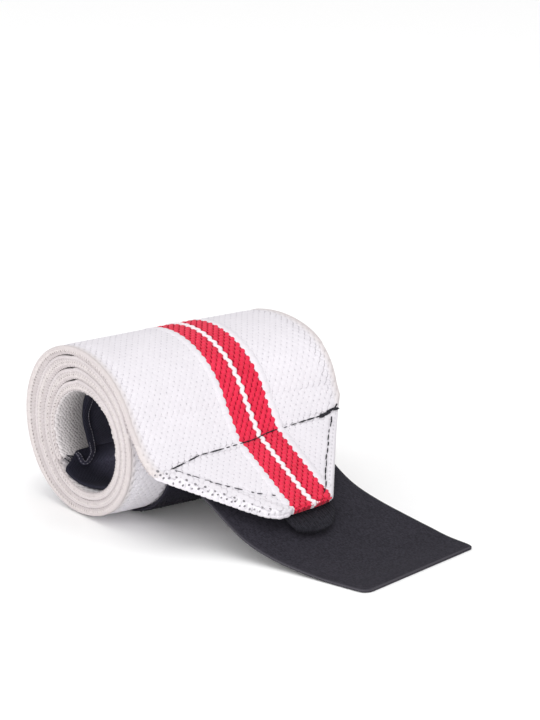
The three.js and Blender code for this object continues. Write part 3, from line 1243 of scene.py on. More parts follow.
@dataclass
class WrapBand:
    """The woven band with its rolled edges, stripe, selvedge and flap seams."""

    path: BandPath
    tools: Haberdashery
    weave: Weave = field(default_factory=Weave)
    width: float = 76.0
    rim_inset: float = 1.1
    rim_reach: float = 2.4
    rim_lift: float = 0.5
    rim_angles: tuple[float, ...] = (0, 60, 100, 150, 220, 280, 360)
    rim_shares: tuple[float, ...] = (0.5, 0.7, 0.95, 0.3, 0.3, 0.5, 0.5)
    hem_inset: float = 1.9
    hem_extra: float = 0.3
    hem_width: float = 9.0
    hem_puff: float = 0.55
    tip_round: float = 1.2
    near_hem_reach: float = 7.0
    far_hem_reach: float = 3.9
    showing_from: float = 2.5
    core_until: float = 0.60
    core_depth: float = -12.0
    line_radius: float = 0.76
    line_swing: float = 0.43
    border_shift: float = 0.35
    dot_rows: tuple[float, ...] = (0.06, 0.5, 1.35)
    dot_pitch: float = 2.9
    dot_scatter: float = 0.16
    dot_share: float = 0.86
    dots_until: float = -3.6
    fine_step: float = 0.25
    patch_span: Pair = (-23.6, 27.6)
    patch_until: float = 3.04
    selvedge_pitch: float = 1.27
    bead: float = 0.62
    outer_bead: float = 0.8
    turns_before: float = 2.52
    hem_turn: float = 3.0
    seam_reach: float = 12.0
    yarn_bed: float = 0.1
    tip_thin: float = 0.3
    tip_fold: float = 5.0
    floor_gap: float = 0.05
    rim_tint: float = 2.2
    edge_margin: float = 2.5
    hem_margin: float = 2.3
    red_margin: float = 1.3
    tip_margin: float = 0.4
    border_tip_margin: float = 3.2
    core_margin: float = 1.2
    core_scatter: float = 0.13
    flat_sink: float = 0.155
    flat_share: float = 0.92
    hole_margin: float = 3.0
    hem_hole_margin: float = 5.2
    hole_sink: float = 0.15
    stitch_height: float = 0.36
    whip_slant: Pair = (0.59, 0.81)
    tack_line: tuple[Pair, Pair] = ((32.5, 28.4), (31.5, 34.0))
    tack_count: int = 9
    outline: tuple[Triple, ...] = (
        (29.0, -38.0, 38.0), (39.3, -38.0, 29.8), (61.3, -13.2, 13.0), (62.2, -12.2, 9.5),
        (62.9, -11.0, 3.0), (63.6, -9.8, -2.5), (63.9, -8.8, -5.0),
    )

    def __post_init__(self) -> None:
        """Reads the three seams once into lengths along the band."""
        self.seams = {seam: self.on_cloth(seam.line) for seam in (BASE_SEAM, NEAR_SEAM, FAR_SEAM)}
        self.half = self.path.thickness / 2

    def on_cloth(self, table: Sequence[Pair]) -> Array:
        """A line's corners as length along the band and place across it."""
        corners = np.array(table)
        return pack(self.path.length_at_x(corners[:, 0]), corners[:, 1])

    def edges(self, s: Array) -> tuple[Array, Array]:
        """Near and far edge of the cloth at a length along the band.

        Args:
            s: Lengths along the band.

        Returns:
            The two edges, as places across.
        """
        x = self.path.x_at(s)
        table = np.array(self.outline)
        near = np.interp(x, table[:, 0], table[:, 1])
        far = np.interp(x, table[:, 0], table[:, 2])
        on_roll = s <= self.path.flap_start
        half = self.width / 2
        return np.where(on_roll, -half, near), np.where(on_roll, half, far)

    def slanted(self, s: Array) -> tuple[Array, Array]:
        """How far the near and the far edge have become a folded hem, from 0 to 1.

        Args:
            s: Lengths along the band.

        Returns:
            The two shares.
        """
        near, far = self.edges(s)
        half = self.width / 2
        return tuple(smooth(edge, -half, -half + self.hem_turn) for edge in (near, -far))

    def dip(self, s: Array, v: Array) -> Array:
        """How far the seams pull the cloth in.

        Args:
            s: Lengths along the band.
            v: Places across the band.

        Returns:
            Depths in millimetres.
        """
        points = np.stack(np.broadcast_arrays(s, v), axis=-1)
        depth = np.zeros(points.shape[:-1])
        near_flap = points[..., 0] > self.path.flap_start - self.seam_reach
        for seam, line in self.seams.items():
            pull = seam.groove * np.exp(-(distance_to_line(points[near_flap], line) ** 2))
            depth[near_flap] = np.maximum(depth[near_flap], pull)
        return depth

    def rim_halves(self, s: Array) -> tuple[Array, Array]:
        """Half thickness of the edge outwards and inwards, where it fills the gap to the next turns.

        Args:
            s: Lengths along the band.

        Returns:
            The two half thicknesses.
        """
        turn = self.path.turn_at(s)
        angle = np.degrees(self.path.angle(turn)) % 360
        share = np.interp(angle, self.rim_angles, self.rim_shares)
        above, below = (self.path.spacing(turn - k) - self.path.thickness for k in (0.0, 1.0))
        lifted = smooth(angle, 97, 102) * (1 - smooth(angle, 103, 126))
        covered = 1 - smooth(turn, 2.49, 2.55)
        outer = self.half + 0.12 + (share * above - 0.06 - self.rim_lift * lifted) * covered
        on = s - self.path.flap_start
        lined = smooth(turn, 0.98, 1.04) * (1 - smooth(on, -10, 6))
        return outer, self.half + ((1 - share) * below + 0.06) * lined

    def room(self, s: Array, v: Array) -> tuple[Array, Array]:
        """Distance across the cloth to the near and to the far edge."""
        near, far = self.edges(s)
        return v - near, far - v

    def top(self, s: Array, v: Array) -> Array:
        """Offset of the outer face from the mid line, away from the rounding of the edges.

        Args:
            s: Lengths along the band.
            v: Places across the band.

        Returns:
            Offsets in millimetres.
        """
        to_near, to_far = self.room(s, v)
        near_hem, far_hem = self.slanted(s)
        outer, _ = self.rim_halves(s)
        swell = (outer - self.half) * np.exp(-((np.minimum(to_near, to_far) / self.rim_reach) ** 2))
        puff = near_hem * np.sin(np.pi * np.clip(to_near / self.near_hem_reach, 0, 1))
        puff = puff + 0.5 * far_hem * np.sin(np.pi * np.clip(to_far / self.far_hem_reach, 0, 1)) ** 2
        return self.half + swell + self.hem_puff * puff - self.dip(s, v)

    def bottom(self, s: Array, v: Array) -> Array:
        """Offset of the inner face from the mid line, inwards, with the corners folded under the flap.

        Args:
            s: Lengths along the band.
            v: Places across the band.

        Returns:
            Offsets in millimetres.
        """
        to_near, to_far = self.room(s, v)
        near_hem, far_hem = self.slanted(s)
        _, inner = self.rim_halves(s)
        swell = (inner - self.half) * np.exp(-((np.minimum(to_near, to_far) / self.rim_reach) ** 2))
        tip = 1 - 0.8 * smooth(s, self.path.length - self.tip_fold, self.path.length)
        return self.half + swell + self.hem_extra * tip * self.fold(to_near, to_far, near_hem, far_hem)

    def fold(self, to_near: Array, to_far: Array, near_hem: Array, far_hem: Array) -> Array:
        """How much of a turned-under corner lies below a place, from 0 to 1.

        Args:
            to_near: Distance to the near edge.
            to_far: Distance to the far edge.
            near_hem: How far the near edge is a hem.
            far_hem: How far the far edge is a hem.

        Returns:
            The shares.
        """
        reach = self.hem_width
        at_near = near_hem * smooth(reach - to_near, 0.0, reach * 0.5)
        return np.maximum(at_near, far_hem * smooth(reach - to_far, 0.0, reach * 0.5))

    def inset(self, s: Array) -> Array:
        """How far the rounding of the edges reaches into the cloth.

        Args:
            s: Lengths along the band.

        Returns:
            Distances in millimetres.
        """
        near, far = self.edges(s)
        hem = np.maximum(*self.slanted(s))
        full = self.rim_inset + (self.hem_inset - self.rim_inset) * hem
        return np.minimum(full, (far - near) * 0.12)

    def rows(self) -> Array:
        """Lengths along the band where the mesh has a row.

        Returns:
            Rising lengths.
        """
        start = self.path.length_at_turn(self.showing_from)
        tip = self.path.length - 4.0
        return np.concatenate(
            [
                np.arange(0.0, start, 2.0),
                np.arange(start, tip, 1.0),
                np.linspace(tip, self.path.length, 14),
            ]
        )

    def build(self) -> Piece:
        """Makes the band's mesh and dresses it.

        Returns:
            The finished piece.
        """
        s = self.rows()
        near, far = self.edges(s)
        v, share, inner = Ring(upper=110, lower=56, turn=6).spread(near, far, self.inset(s))
        rows = np.broadcast_to(s[:, None], v.shape)
        upper, lower = self.top(rows, v) - self.yarn_bed, self.bottom(rows, v)
        n = share * np.where(share >= 0, upper, lower)
        left = np.clip((self.path.length - rows) / self.tip_round, 0.0, 1.0)
        n = n * (self.tip_thin + (1 - self.tip_thin) * np.sqrt(1 - (1 - left) ** 2))
        points = self.path.place(rows, v, n)
        points[..., 2] = np.maximum(points[..., 2], self.floor_gap)
        hem = self.fold(*self.room(rows, v), *self.slanted(rows))
        # The rim number gives the rounded edges the rim colour, which is painted shade.
        rim = np.exp(-((inner / self.rim_tint) ** 2)) * (1 - hem)
        finish = WovenFinish(self.weave).material()
        piece = Loft(points, pack(rows, v)).build("woven_band", finish, rim)
        # Painted shade: the inner face deep in the core takes the deep colour.
        in_core = (self.path.turn_at(rows) < 1.0) & (share < 0)
        add_attribute(piece.data, "deep", (smooth(inner, 0.5, 9.0) * in_core).ravel())
        return hand_over(piece, "woven_elastic", "wrap_band")

    def yarn_of(self, row: int) -> Yarn:
        """The group that a row of the outer face belongs to.

        Args:
            row: Number of the row.

        Returns:
            The group.
        """
        stripe = self.weave.red_rows + self.weave.white_rows // 2
        if -stripe <= row < stripe:
            return Yarn.RED
        if row in (-stripe - 1, stripe):
            return Yarn.EDGE
        return Yarn.NEAR if row < 0 else Yarn.FAR

    def lay_rows(self) -> dict[Yarn, Array]:
        """Places of all grains on the cloth, by group, as length along and place across.

        Returns:
            Array (n, 2) for each group.
        """
        w = self.weave
        groups: dict[Yarn, list[Array]] = {kind: [] for kind in Yarn}
        first = math.ceil((-self.width / 2 - w.first_row) / w.row_step)
        last = math.floor((self.width / 2 - w.first_row) / w.row_step)
        start = self.path.length_at_turn(self.showing_from)
        until = self.path.length_at_turn(self.patch_until)
        for row in range(first, last + 1):
            kind = self.yarn_of(row)
            v = w.first_row + row * w.row_step
            v += math.copysign(self.border_shift, row) if kind is Yarn.EDGE else 0.0
            s = w.along * (np.arange(0, self.path.length / w.along) + 0.5 * (row % 2)) + 0.4
            to_near, to_far = self.room(s, np.full_like(s, v))
            near_hem, far_hem = self.slanted(s)
            on_red = kind is Yarn.RED
            near_margin = self.red_margin if on_red else self.hem_margin
            far_margin = self.red_margin if on_red else self.far_hem_reach - 1.0
            clear = to_near > np.where(near_hem > 0.5, near_margin, self.edge_margin)
            clear &= to_far > np.where(far_hem > 0.5, far_margin, self.edge_margin)
            under_patch = (s < until) & (v > self.patch_span[0]) & (v < self.patch_span[1])
            end = self.path.length - (self.border_tip_margin if kind is Yarn.EDGE else self.tip_margin)
            shown = (s > start) & (s < end) & clear & ~under_patch
            if row not in (-1, 0):
                groups[kind].append(pack(s, np.full_like(s, v))[shown])
        groups[Yarn.CORE].append(self.lay_core())
        return {kind: np.concatenate(rows) for kind, rows in groups.items()}

    def lay_core(self) -> Array:
        """Places of the finer grains on the inner face, where the open core shows it.

        Returns:
            Array (n, 2).
        """
        w = self.weave
        steps = np.arange(0.0, self.path.length_at_turn(self.core_until), w.along / 2)
        rows = np.arange(-self.width / 2 + self.core_margin, self.core_depth, w.row_step / 2)
        s, v = np.meshgrid(steps, rows, indexing="ij")
        s = s + w.along / 4 * (np.arange(len(rows)) % 2)
        flat = pack(s.ravel() + 0.8, v.ravel())
        return flat + np.random.default_rng(81).normal(0.0, self.core_scatter, flat.shape)

    def spots(self, flat: Array, slant: Array, rise: Union[float, Array], inside: bool = False) -> Spots:
        """Turns places on the cloth into spots on one of its faces.

        Args:
            flat: Array (n, 2) of length along and place across.
            slant: Unit vector on the cloth that a form runs along, or one for each place.
            rise: Height of the form's middle above the cloth, or one for each place.
            inside: Whether the spots lie on the inner face.

        Returns:
            The spots.
        """
        s, v = flat[:, 0], flat[:, 1]
        out = self.path.face(s, v) * (-1.0 if inside else 1.0)
        if inside:
            n = -self.bottom(s, v) - rise
        else:
            to_near, to_far = self.room(s, v)
            inset, top = self.inset(s), self.top(s, v)
            drop = 1 - np.clip(np.minimum(to_near, to_far) / inset, 0.0, 1.0)
            level = np.sqrt(1 - drop**2)
            n = (top + rise) * level
            out = out * (level * inset)[:, None]
            out[:, 1] += np.where(to_near < to_far, -1.0, 1.0) * drop * top
        step = 0.4 * np.broadcast_to(slant, flat.shape)
        ahead = self.path.place(s + step[:, 0], v + step[:, 1], n)
        behind = self.path.place(s - step[:, 0], v - step[:, 1], n)
        return Spots(self.path.place(s, v, n), unit(ahead - behind), unit(out), np.ones((len(s), 3)))

    def hole_height(self, size: Triple) -> float:
        """Height of the yarn's surface in the hole between four grains, above the grains' middle.

        Args:
            size: Length, width and height of a grain.

        Returns:
            The height.
        """
        length, width, height = size
        aside, along = self.weave.slant * self.weave.row_step
        inside = 1 - (along / length * 2) ** 2 - (aside / width * 2) ** 2
        return height / 2 * math.sqrt(max(inside, 0.0))

    def fade(self, flat: Array) -> Array:
        """How far the yarn flattens into the soft margin along the long edges, from 0 to 1.

        Args:
            flat: Places on the cloth, array (n, 2).

        Returns:
            The shares.
        """
        s, v = flat[:, 0], flat[:, 1]
        to_near, to_far = self.room(s, v)
        _, far_hem = self.slanted(s)
        return 1 - smooth(np.minimum(to_near, to_far + 4.0 * far_hem), 2.0, 6.0)

    def add_yarn(self) -> list[Piece]:
        """Sets the yarn of the faces that show, grain by grain, with the small holes between the grains.

        Returns:
            The finished pieces.
        """
        pieces = []
        for kind, flat in self.lay_rows().items():
            pieces.append(self.add_grains(kind, flat))
            if YARN_LOOKS[kind].hole:
                pieces.append(self.add_holes(kind, flat))
        return [*pieces, self.add_hem_dots()]

    def add_grains(self, kind: Yarn, flat: Array) -> Piece:
        """Sets the grains of one group of yarn, flatter along the soft margins of white cloth.

        Args:
            kind: The group.
            flat: Places on the cloth, array (n, 2).

        Returns:
            The finished piece.
        """
        look = YARN_LOOKS[kind]
        inside = kind is Yarn.CORE
        flatter = np.zeros(len(flat)) if inside or kind is Yarn.RED else self.fade(flat)
        run = np.array([1.0, 0.0]) if kind is Yarn.EDGE else self.weave.slant
        spots = self.spots(flat, run, look.rise - self.flat_sink * flatter, inside)
        spots.size[:, 2] = 1 - self.flat_share * flatter
        finish = look.finish.material()
        return self.tools.grains(kind.value, spots, look.size, finish, look.jitter, look.detail)

    def add_holes(self, kind: Yarn, flat: Array) -> Piece:
        """Sets the small holes between the grains of one group of yarn, as dark grains of painted shade.

        Args:
            kind: The group.
            flat: Places of its grains, array (n, 2).

        Returns:
            The finished piece.
        """
        look = YARN_LOOKS[kind]
        on_red = kind is Yarn.RED
        holes = flat + (self.weave.along / 2, 0.0)
        holes = holes[holes[:, 0] < self.path.length - 1.0]
        room = self.room(holes[:, 0], holes[:, 1])
        to_edge = np.minimum(*room)
        hemmed = (self.fold(*room, *self.slanted(holes[:, 0])) > 0.5) & (to_edge < self.hem_hole_margin)
        holes = holes[(to_edge > self.hole_margin) & (on_red | ~hemmed)]
        rise = look.rise + self.hole_height(look.size)
        rise = rise - (0.0 if on_red else self.hole_sink) * self.fade(holes)
        spots = self.spots(holes, unit(np.array(look.hole_run)), rise)
        name = kind.value.replace("yarn", "holes")
        return self.tools.grains(name, spots, look.hole_size, look.hole.material(), 0.5, (6, 4))

    def add_hem_dots(self) -> Piece:
        """Sets the dark dots along the near folded edge, painted shade in the opened holes of the fold.

        Returns:
            The finished piece.
        """
        chance = np.random.default_rng(71)
        spots = self.spots(self.hem_dots(), unit(np.array(WHITE_LOOK.hole_run)), -0.05)
        spots.size[:] = chance.uniform(0.7, 1.05, (len(spots.at), 1))
        return self.tools.grains("hem_holes", spots, (1.0, 0.9, 0.42), HEM_HOLE_SHADE.material(), 0.0, (7, 5))

    def hem_dots(self) -> Array:
        """Places of the holes that run in rows along the near folded edge, up to the stripe.

        Returns:
            Array (n, 2).
        """
        chance = np.random.default_rng(91)
        line = self.on_cloth([(x, v) for x, v, _ in self.outline[1:]])
        rows = []
        for number, inset in enumerate(self.dot_rows):
            fine, _ = walk_line(line, self.fine_step)
            way = unit(np.gradient(fine, axis=0))
            start = 3 + number * 6 % 10
            pick = np.arange(start, len(fine) - 3, round(self.dot_pitch / self.fine_step))
            rows.append(fine[pick] + pack(-way[pick, 1], way[pick, 0]) * inset)
        dots = np.concatenate(rows)
        dots = dots + chance.normal(0.0, self.dot_scatter, dots.shape)
        kept = (dots[:, 1] < self.dots_until) & (dots[:, 0] < self.path.length - 0.6)
        return dots[kept & (chance.random(len(dots)) < self.dot_share)]

    def add_line(self) -> Piece:
        """Runs the wavy white yarn along the middle of the stripe.

        Returns:
            The finished piece.
        """
        w = self.weave
        s = np.arange(self.path.length_at_turn(self.showing_from), self.path.length - 0.5, 0.25)
        beat = np.cos(2 * np.pi * (s - 0.4) / w.along)
        v = w.stripe_middle + self.line_swing * np.arcsin(0.93 * beat) / np.arcsin(0.93)
        until = self.path.length_at_turn(self.patch_until)
        shown = (s >= until) | (v < self.patch_span[0]) | (v > self.patch_span[1])
        s, v = s[shown], v[shown]
        line = self.path.place(s, v, self.top(s, v) - 0.36 * self.line_radius)
        return self.tools.cords("white_line_yarn", [line], self.line_radius, LINE_YARN.material(), 8)

    def add_hem_beads(self) -> Piece:
        """Sets the row of yarn that rounds the folded edges of the flap.

        Returns:
            The finished piece.
        """
        table = np.array(self.outline)
        near = self.on_cloth([*((x, v) for x, v, _ in table[1:]), (63.9, -5.0), (63.6, -3.6)])
        far = self.on_cloth([(x, v) for x, _, v in table[:3]])
        groups = []
        for line, sign in ((near, -1.0), (far, 1.0)):
            mid, _ = walk_line(line, 2.0)
            mid = mid[1:-1]
            fine, _ = walk_line(line, 0.5)
            close = np.argmin(np.linalg.norm(fine[None] - mid[:, None], axis=-1), axis=1)
            way = unit(fine[np.minimum(close + 2, len(fine) - 1)] - fine[np.maximum(close - 2, 0)])
            s, v = mid[:, 0], mid[:, 1] - sign * 0.6
            n = np.full_like(s, -0.6)
            ahead = self.path.place(s + way[:, 0], v + way[:, 1], n) - self.path.place(s, v, n)
            side = np.broadcast_to((0.0, sign, 0.0), (len(s), 3))
            groups.append(Spots(self.path.place(s, v, n), unit(ahead), side, np.ones((len(s), 3))))
        spots = Spots.joined(groups)
        return self.tools.grains("hem_edge_yarn", spots, (3.5, 1.5, 1.5), WHITE_YARN.material(), 0.1)

    def add_selvedge(self) -> list[Piece]:
        """Runs a cord along the long edges, whips it down, and leaves slots between the stitches, all in
        darker copies of the white yarn that are painted shade.

        Returns:
            The finished pieces.
        """
        inner_cords, outer_cords, whips, slots = [], [], [], []
        last_turn = self.path.length_at_turn(self.turns_before)
        corner = float(self.path.length_at_x(np.array(self.outline[1][0])))
        for sign, stop in ((-1.0, corner - 1.0), (1.0, self.path.flap_start - 1.0)):
            s = np.arange(0.3, stop, self.selvedge_pitch)
            near, far = self.edges(s)
            edge = near if sign < 0 else far
            outer, inner = self.rim_halves(s)
            sink = 1.6 * smooth(s, stop - 12.0, stop - 4.0)
            sink = sink + (1 - smooth(s, last_turn - 4.0, last_turn + 8.0))
            line = self.path.place(s, edge - sign * self.bead * 0.84, outer - self.bead)
            inner_cords.append(line[s < last_turn + 4.0])
            aside = self.outer_bead * 0.9 + sink
            line = self.path.place(s, edge - sign * aside, outer - self.outer_bead - sink)
            outer_cords.append(line[s > last_turn])
            bead = np.where(s > last_turn, 1.9 * self.outer_bead, 1.3 * self.bead)
            high, low = outer - bead, -inner + 0.1
            mid = (high + low) / 2
            along = unit(self.path.place(s + 0.3, edge, mid) - self.path.place(s - 0.3, edge, mid))
            run = unit(self.whip_slant[0] * along - self.whip_slant[1] * self.path.out(s))
            side = np.broadcast_to((0.0, sign, 0.0), (len(s), 3))
            size = np.ones((len(s), 3))
            size[:, 0] = (high - low) / self.whip_slant[1]
            whips.append(Spots(self.path.place(s, edge - sign * 0.35, mid), run, side, size))
            # Small dark grains of painted shade stand in the slots between the whip stitches.
            between = s + self.selvedge_pitch / 2
            depth = outer - 0.56 * (outer + inner)
            kept = s < self.path.flap_start - 12.0
            angle = self.path.angle(self.path.turn_at(s))
            seen = np.broadcast_to((0.72 - 0.28 * np.cos(angle))[:, None], (len(s), 3))
            parts = (self.path.place(between, edge - sign * 0.04, depth), run, side, seen)
            slots.append(Spots(*(part[kept] for part in parts)))
        finishes = (SHADED_RIM_CORD, SHADED_OUTER_CORD, SHADED_RIM_YARN, RIM_SLOT_SHADE)
        cord, outer_cord, stitch, slot = (finish.material() for finish in finishes)
        whipped, open_slots = Spots.joined(whips), Spots.joined(slots)
        return [
            self.tools.cords("selvedge_cord", inner_cords, self.bead, cord, 8),
            self.tools.cords("outer_selvedge_cord", outer_cords, self.outer_bead, outer_cord, 10),
            self.tools.grains("selvedge_stitches", whipped, (1.1, 1.6, 0.74), stitch, 0.05),
            self.tools.grains("selvedge_slots", open_slots, (1.2, 0.52, 0.36), slot, 0.5, (6, 4)),
        ]

    def stitches(self, seam: Seam) -> Spots:
        """Lays stitches along a seam of the flap, one spot for each.

        Args:
            seam: The seam.

        Returns:
            The spots.
        """
        chance = np.random.default_rng(seam.seed)
        line = self.seams[seam]
        fine, _ = walk_line(line, self.fine_step)
        if seam.shown:
            table = np.array(seam.shown)
            ends = [np.interp(table[:, k], fine[:, 1], fine[:, 0]) for k in (0, 1)]
            start, end = (pack(s, table[:, k]) for k, s in enumerate(ends))
            mid, way = (start + end) / 2, unit(end - start)
            long, wide = np.linalg.norm(end - start, axis=1), table[:, 2]
        else:
            mid, _ = walk_line(line, seam.length + seam.gap)
            mid = mid[1:] + chance.normal(0.0, 0.1, mid[1:].shape)
            close = np.argmin(np.linalg.norm(fine[None] - mid[:, None], axis=-1), axis=1)
            way = unit(fine[np.minimum(close + 4, len(fine) - 1)] - fine[np.maximum(close - 4, 0)])
            long, wide = chance.uniform(0.6, 1.15, len(mid)), chance.uniform(0.7, 1.15, len(mid))
        spots = self.spots(mid, way, self.stitch_height)
        spots.size[:, 0] = long
        spots.size[:, 1] = wide
        return spots

    def add_seams(self) -> list[Piece]:
        """Sews the flap's three seams.

        Returns:
            The finished pieces.
        """
        pieces = []
        for seam in self.seams:
            size = (seam.length + 0.3, seam.width, 0.45)
            thread = seam.thread.material()
            pieces.append(self.tools.grains(seam.name, self.stitches(seam), size, thread, 0.0, (7, 8)))
        return pieces

    def add_tack(self) -> list[Piece]:
        """Sews the bar tack at the far end of the base seam, and lets its thread ends hang loose.

        Returns:
            The finished pieces.
        """
        chance = np.random.default_rng(31)
        thread = BLACK_THREAD.material()
        line = self.on_cloth(self.tack_line)
        way = unit(line[-1] - line[0])
        across = np.array([way[1], -way[0]])
        count = self.tack_count
        share = np.linspace(0.0, 1.0, count)
        mid = line[0] + share[:, None] * (line[-1] - line[0])
        mid = mid + across * chance.uniform(-0.35, 0.35, (count, 1))
        spots = self.spots(mid, unit(way + across * 0.25), 0.45)
        spots.size[:, 0] = chance.uniform(0.7, 1.2, count)
        tack = self.tools.grains("bar_tack", spots, (2.6, 0.75, 0.6), thread, 0.1, (7, 8))
        ends = []
        for start, drift, length in LOOSE_ENDS:
            at = self.on_cloth((start,))[0]
            step = np.linspace(0.0, 1.0, 9)[:, None]
            flat = at + unit(np.array(drift)) * length * step
            flat = flat + chance.normal(0.0, 0.12, flat.shape) * step
            n = self.half + 0.4 + 0.3 * np.sin(np.pi * step[:, 0])
            ends.append(self.path.place(flat[:, 0], flat[:, 1], n))
        loose = self.tools.cords("loose_thread_ends", ends, 0.22, thread)
        return [tack, loose]

    def add_fray(self) -> list[Piece]:
        """Lets the cut yarns of the tip stick out over the tab.

        Returns:
            The finished pieces.
        """
        chance = np.random.default_rng(41)
        pieces = []
        for name, finish, low, high, count in (
            ("red_cut_yarn", RED_YARN, -3.0, 11.4, 20),
            ("white_cut_yarn", LINE_YARN, 3.2, 6.4, 7),
        ):
            lines = []
            for v in np.linspace(low, high, count):
                x = float(np.interp(v, (-5.0, -2.5, 3.0, 9.5, 13.0), (63.9, 63.6, 62.9, 62.2, 61.6)))
                length = chance.uniform(0.15, 0.45)
                lean = chance.normal(0.0, 0.35)
                share = np.linspace(-0.9, 1.0, 6)
                s = float(self.path.length_at_x(np.array(x))) + 0.4 + share * length
                fall = self.half - 0.15 - 0.3 * np.clip(share, 0, 1) ** 2 * length
                lines.append(self.path_beyond(s, v + lean * np.clip(share, 0, 1), fall))
            pieces.append(self.tools.cords(name, lines, 0.24, finish.material(), 5))
        return pieces

    def path_beyond(self, s: Array, v: Array, n: Array) -> Array:
        """Points on the flap, carried straight on past its tip.

        Args:
            s: Lengths along the band.
            v: Places across the band.
            n: Heights over the mid line.

        Returns:
            Array (n, 3).
        """
        points = self.path.place(np.minimum(s, self.path.length), v, n)
        before, tip = (self.path.place(self.path.length - back, 0.0, 0.0) for back in (1.0, 0.0))
        return points + np.maximum(s - self.path.length, 0.0)[:, None] * (tip - before)


@dataclass
class ClosureStrap:
    """The smooth hook strap, sewn under the flap and laid out on the floor."""

    tools: Haberdashery
    width: float = 52.0
    thickness: float = 1.0
    base_x: float = 37.0
    turn_deg: float = 15.5
    corner: float = 3.0
    hook_pitch: float = 1.8
    hook_turn: float = 0.27
    hook_clearance: float = 1.6
    sections: tuple[Quad, ...] = (
        (1.5, 16.6, 20.6, 24.2), (6.0, 14.0, 18.4, 20.2), (13.0, 9.3, 14.4, 14.2),
        (20.0, 5.6, 9.8, 10.2), (29.0, 3.0, 5.7, 7.3), (39.0, 1.5, 3.0, 5.0), (49.0, 0.7, 1.2, 2.9),
        (56.0, 0.6, 0.6, 1.5), (65.0, 0.6, 0.6, 0.6),
    )

    def mid_point(self, table: Array, v: Array) -> Array:
        """Points on the strap's mid surface.

        Args:
            table: Array (n, 4) of rows read from the sections.
            v: Place across the strap, array (n, ...) that fits the rows.

        Returns:
            Array (n, ..., 3).
        """
        along, near, centre, far = (table[:, k].reshape(-1, *[1] * (v.ndim - 1)) for k in range(4))
        w = v / (self.width / 2)
        height = centre + (far - near) / 2 * w + ((near + far) / 2 - centre) * w * w
        turn = math.radians(self.turn_deg)
        x = self.base_x + along * math.cos(turn) - v * math.sin(turn)
        y = along * math.sin(turn) + v * math.cos(turn)
        return pack(x, y, np.maximum(height, self.thickness / 2 + 0.02))

    def build(self) -> Piece:
        """Makes the strap's mesh and dresses it.

        Returns:
            The finished piece.
        """
        steps = np.concatenate([np.linspace(0.0, 0.95, 76), np.linspace(0.955, 1.0, 14)])
        table = catmull(self.sections, steps)
        half = self.width / 2
        to_end = table[-1, 0] - table[:, 0]
        cut = np.maximum(self.corner - to_end, 0.0)
        trim = self.corner - np.sqrt(np.maximum(self.corner**2 - cut**2, 0.0))
        ring = Ring(upper=60, lower=60, turn=3)
        v, share, inner = ring.spread(-half + trim, half - trim * 0.35, np.full_like(trim, 0.35))
        points = self.mid_point(table, v)
        points[..., 2] += share * self.thickness / 2
        flat = pack(np.broadcast_to(table[:, :1], v.shape), v)
        rim = np.maximum(np.exp(-((inner / 0.25) ** 2)), np.exp(-((to_end[:, None] / 0.25) ** 2)))
        piece = Loft(points, flat).build("hook_strap", STRAP_CLOTH.material(), rim * (share > -0.6))
        return hand_over(piece, "hook_strap", "closure_strap")

    def add_hooks(self) -> Piece:
        """Sets rows of small hooks under the stretch of the strap that stands off the floor.

        Returns:
            The finished piece.
        """
        table = catmull(self.sections, np.linspace(0.05, 0.72, 26))
        across = np.arange(-self.width / 2 + 2, self.width / 2 - 2, self.hook_pitch)
        v = np.broadcast_to(across, (len(table), len(across)))
        at = self.mid_point(table, v).reshape(-1, 3)
        at = at[at[:, 2] > self.hook_clearance]
        at[:, 2] -= self.thickness / 2 + 0.1
        down = np.broadcast_to((0.0, 0.0, -1.0), at.shape)
        along = np.broadcast_to((math.sin(self.hook_turn), -math.cos(self.hook_turn), 0.0), at.shape)
        spots = Spots(at, down, along, np.ones_like(at))
        return self.tools.hoops("strap_hooks", spots, 0.4, 0.12, BLACK_YARN.material(), 0.2, (4, 5))


@dataclass
class TipTab:
    """The ribbed tab that sticks out under the flap's tip."""

    thickness: float = 1.2
    rib: float = 0.9
    line: tuple[Pair, ...] = (
        (55.5, 12.2), (59.5, 10.9), (63.5, 9.8), (66.5, 8.6), (69.0, 6.9),
    )
    outline: tuple[Triple, ...] = (
        (55.5, -5.0, 13.4), (62.0, -5.0, 12.9), (64.5, -5.0, 11.1), (66.0, -4.7, 9.9),
        (67.0, -4.3, 8.9), (67.9, -2.95, 7.6), (68.5, -1.1, 6.2), (68.9, 1.0, 4.5), (69.0, 2.1, 3.4),
    )

    def build(self) -> Piece:
        """Makes the tab's mesh with its ribs, and dresses it.

        Returns:
            The finished piece.
        """
        mid = catmull(self.line, np.linspace(0.0, 1.0, 50) ** 0.85)
        reach = lengths_along(mid)
        way = unit(np.gradient(mid, axis=0))
        normal = pack(-way[:, 1], way[:, 0])
        table = np.array(self.outline)
        near, far = (np.interp(mid[:, 0], table[:, 0], table[:, k]) for k in (1, 2))
        inset = np.minimum(0.5, (far - near) * 0.4)
        v, share, inner = Ring(upper=110, lower=30, turn=3).spread(near, far, inset)
        ribs = 0.3 * np.abs(np.sin(np.pi * v / self.rib)) * smooth(inner, 0.0, 0.8)
        middle = ((near + far) / 2)[:, None]
        droop = -0.016 * (v - middle) ** 2 * smooth(reach, 5.0, reach[-1])[:, None]
        offset = share * self.thickness / 2 + (ribs - 0.15) * (share > 0.9)
        x = mid[:, :1] + normal[:, :1] * offset
        z = mid[:, 1:] + normal[:, 1:] * offset + droop
        flat = pack(np.broadcast_to(reach[:, None], v.shape), v)
        rim = 0.4 * np.exp(-((inner / 0.4) ** 2))
        piece = Loft(pack(x, v, z), flat).build("ribbed_tab", TAB_CLOTH.material(), rim)
        return hand_over(piece, "ribbed_tape", "tip_tab")


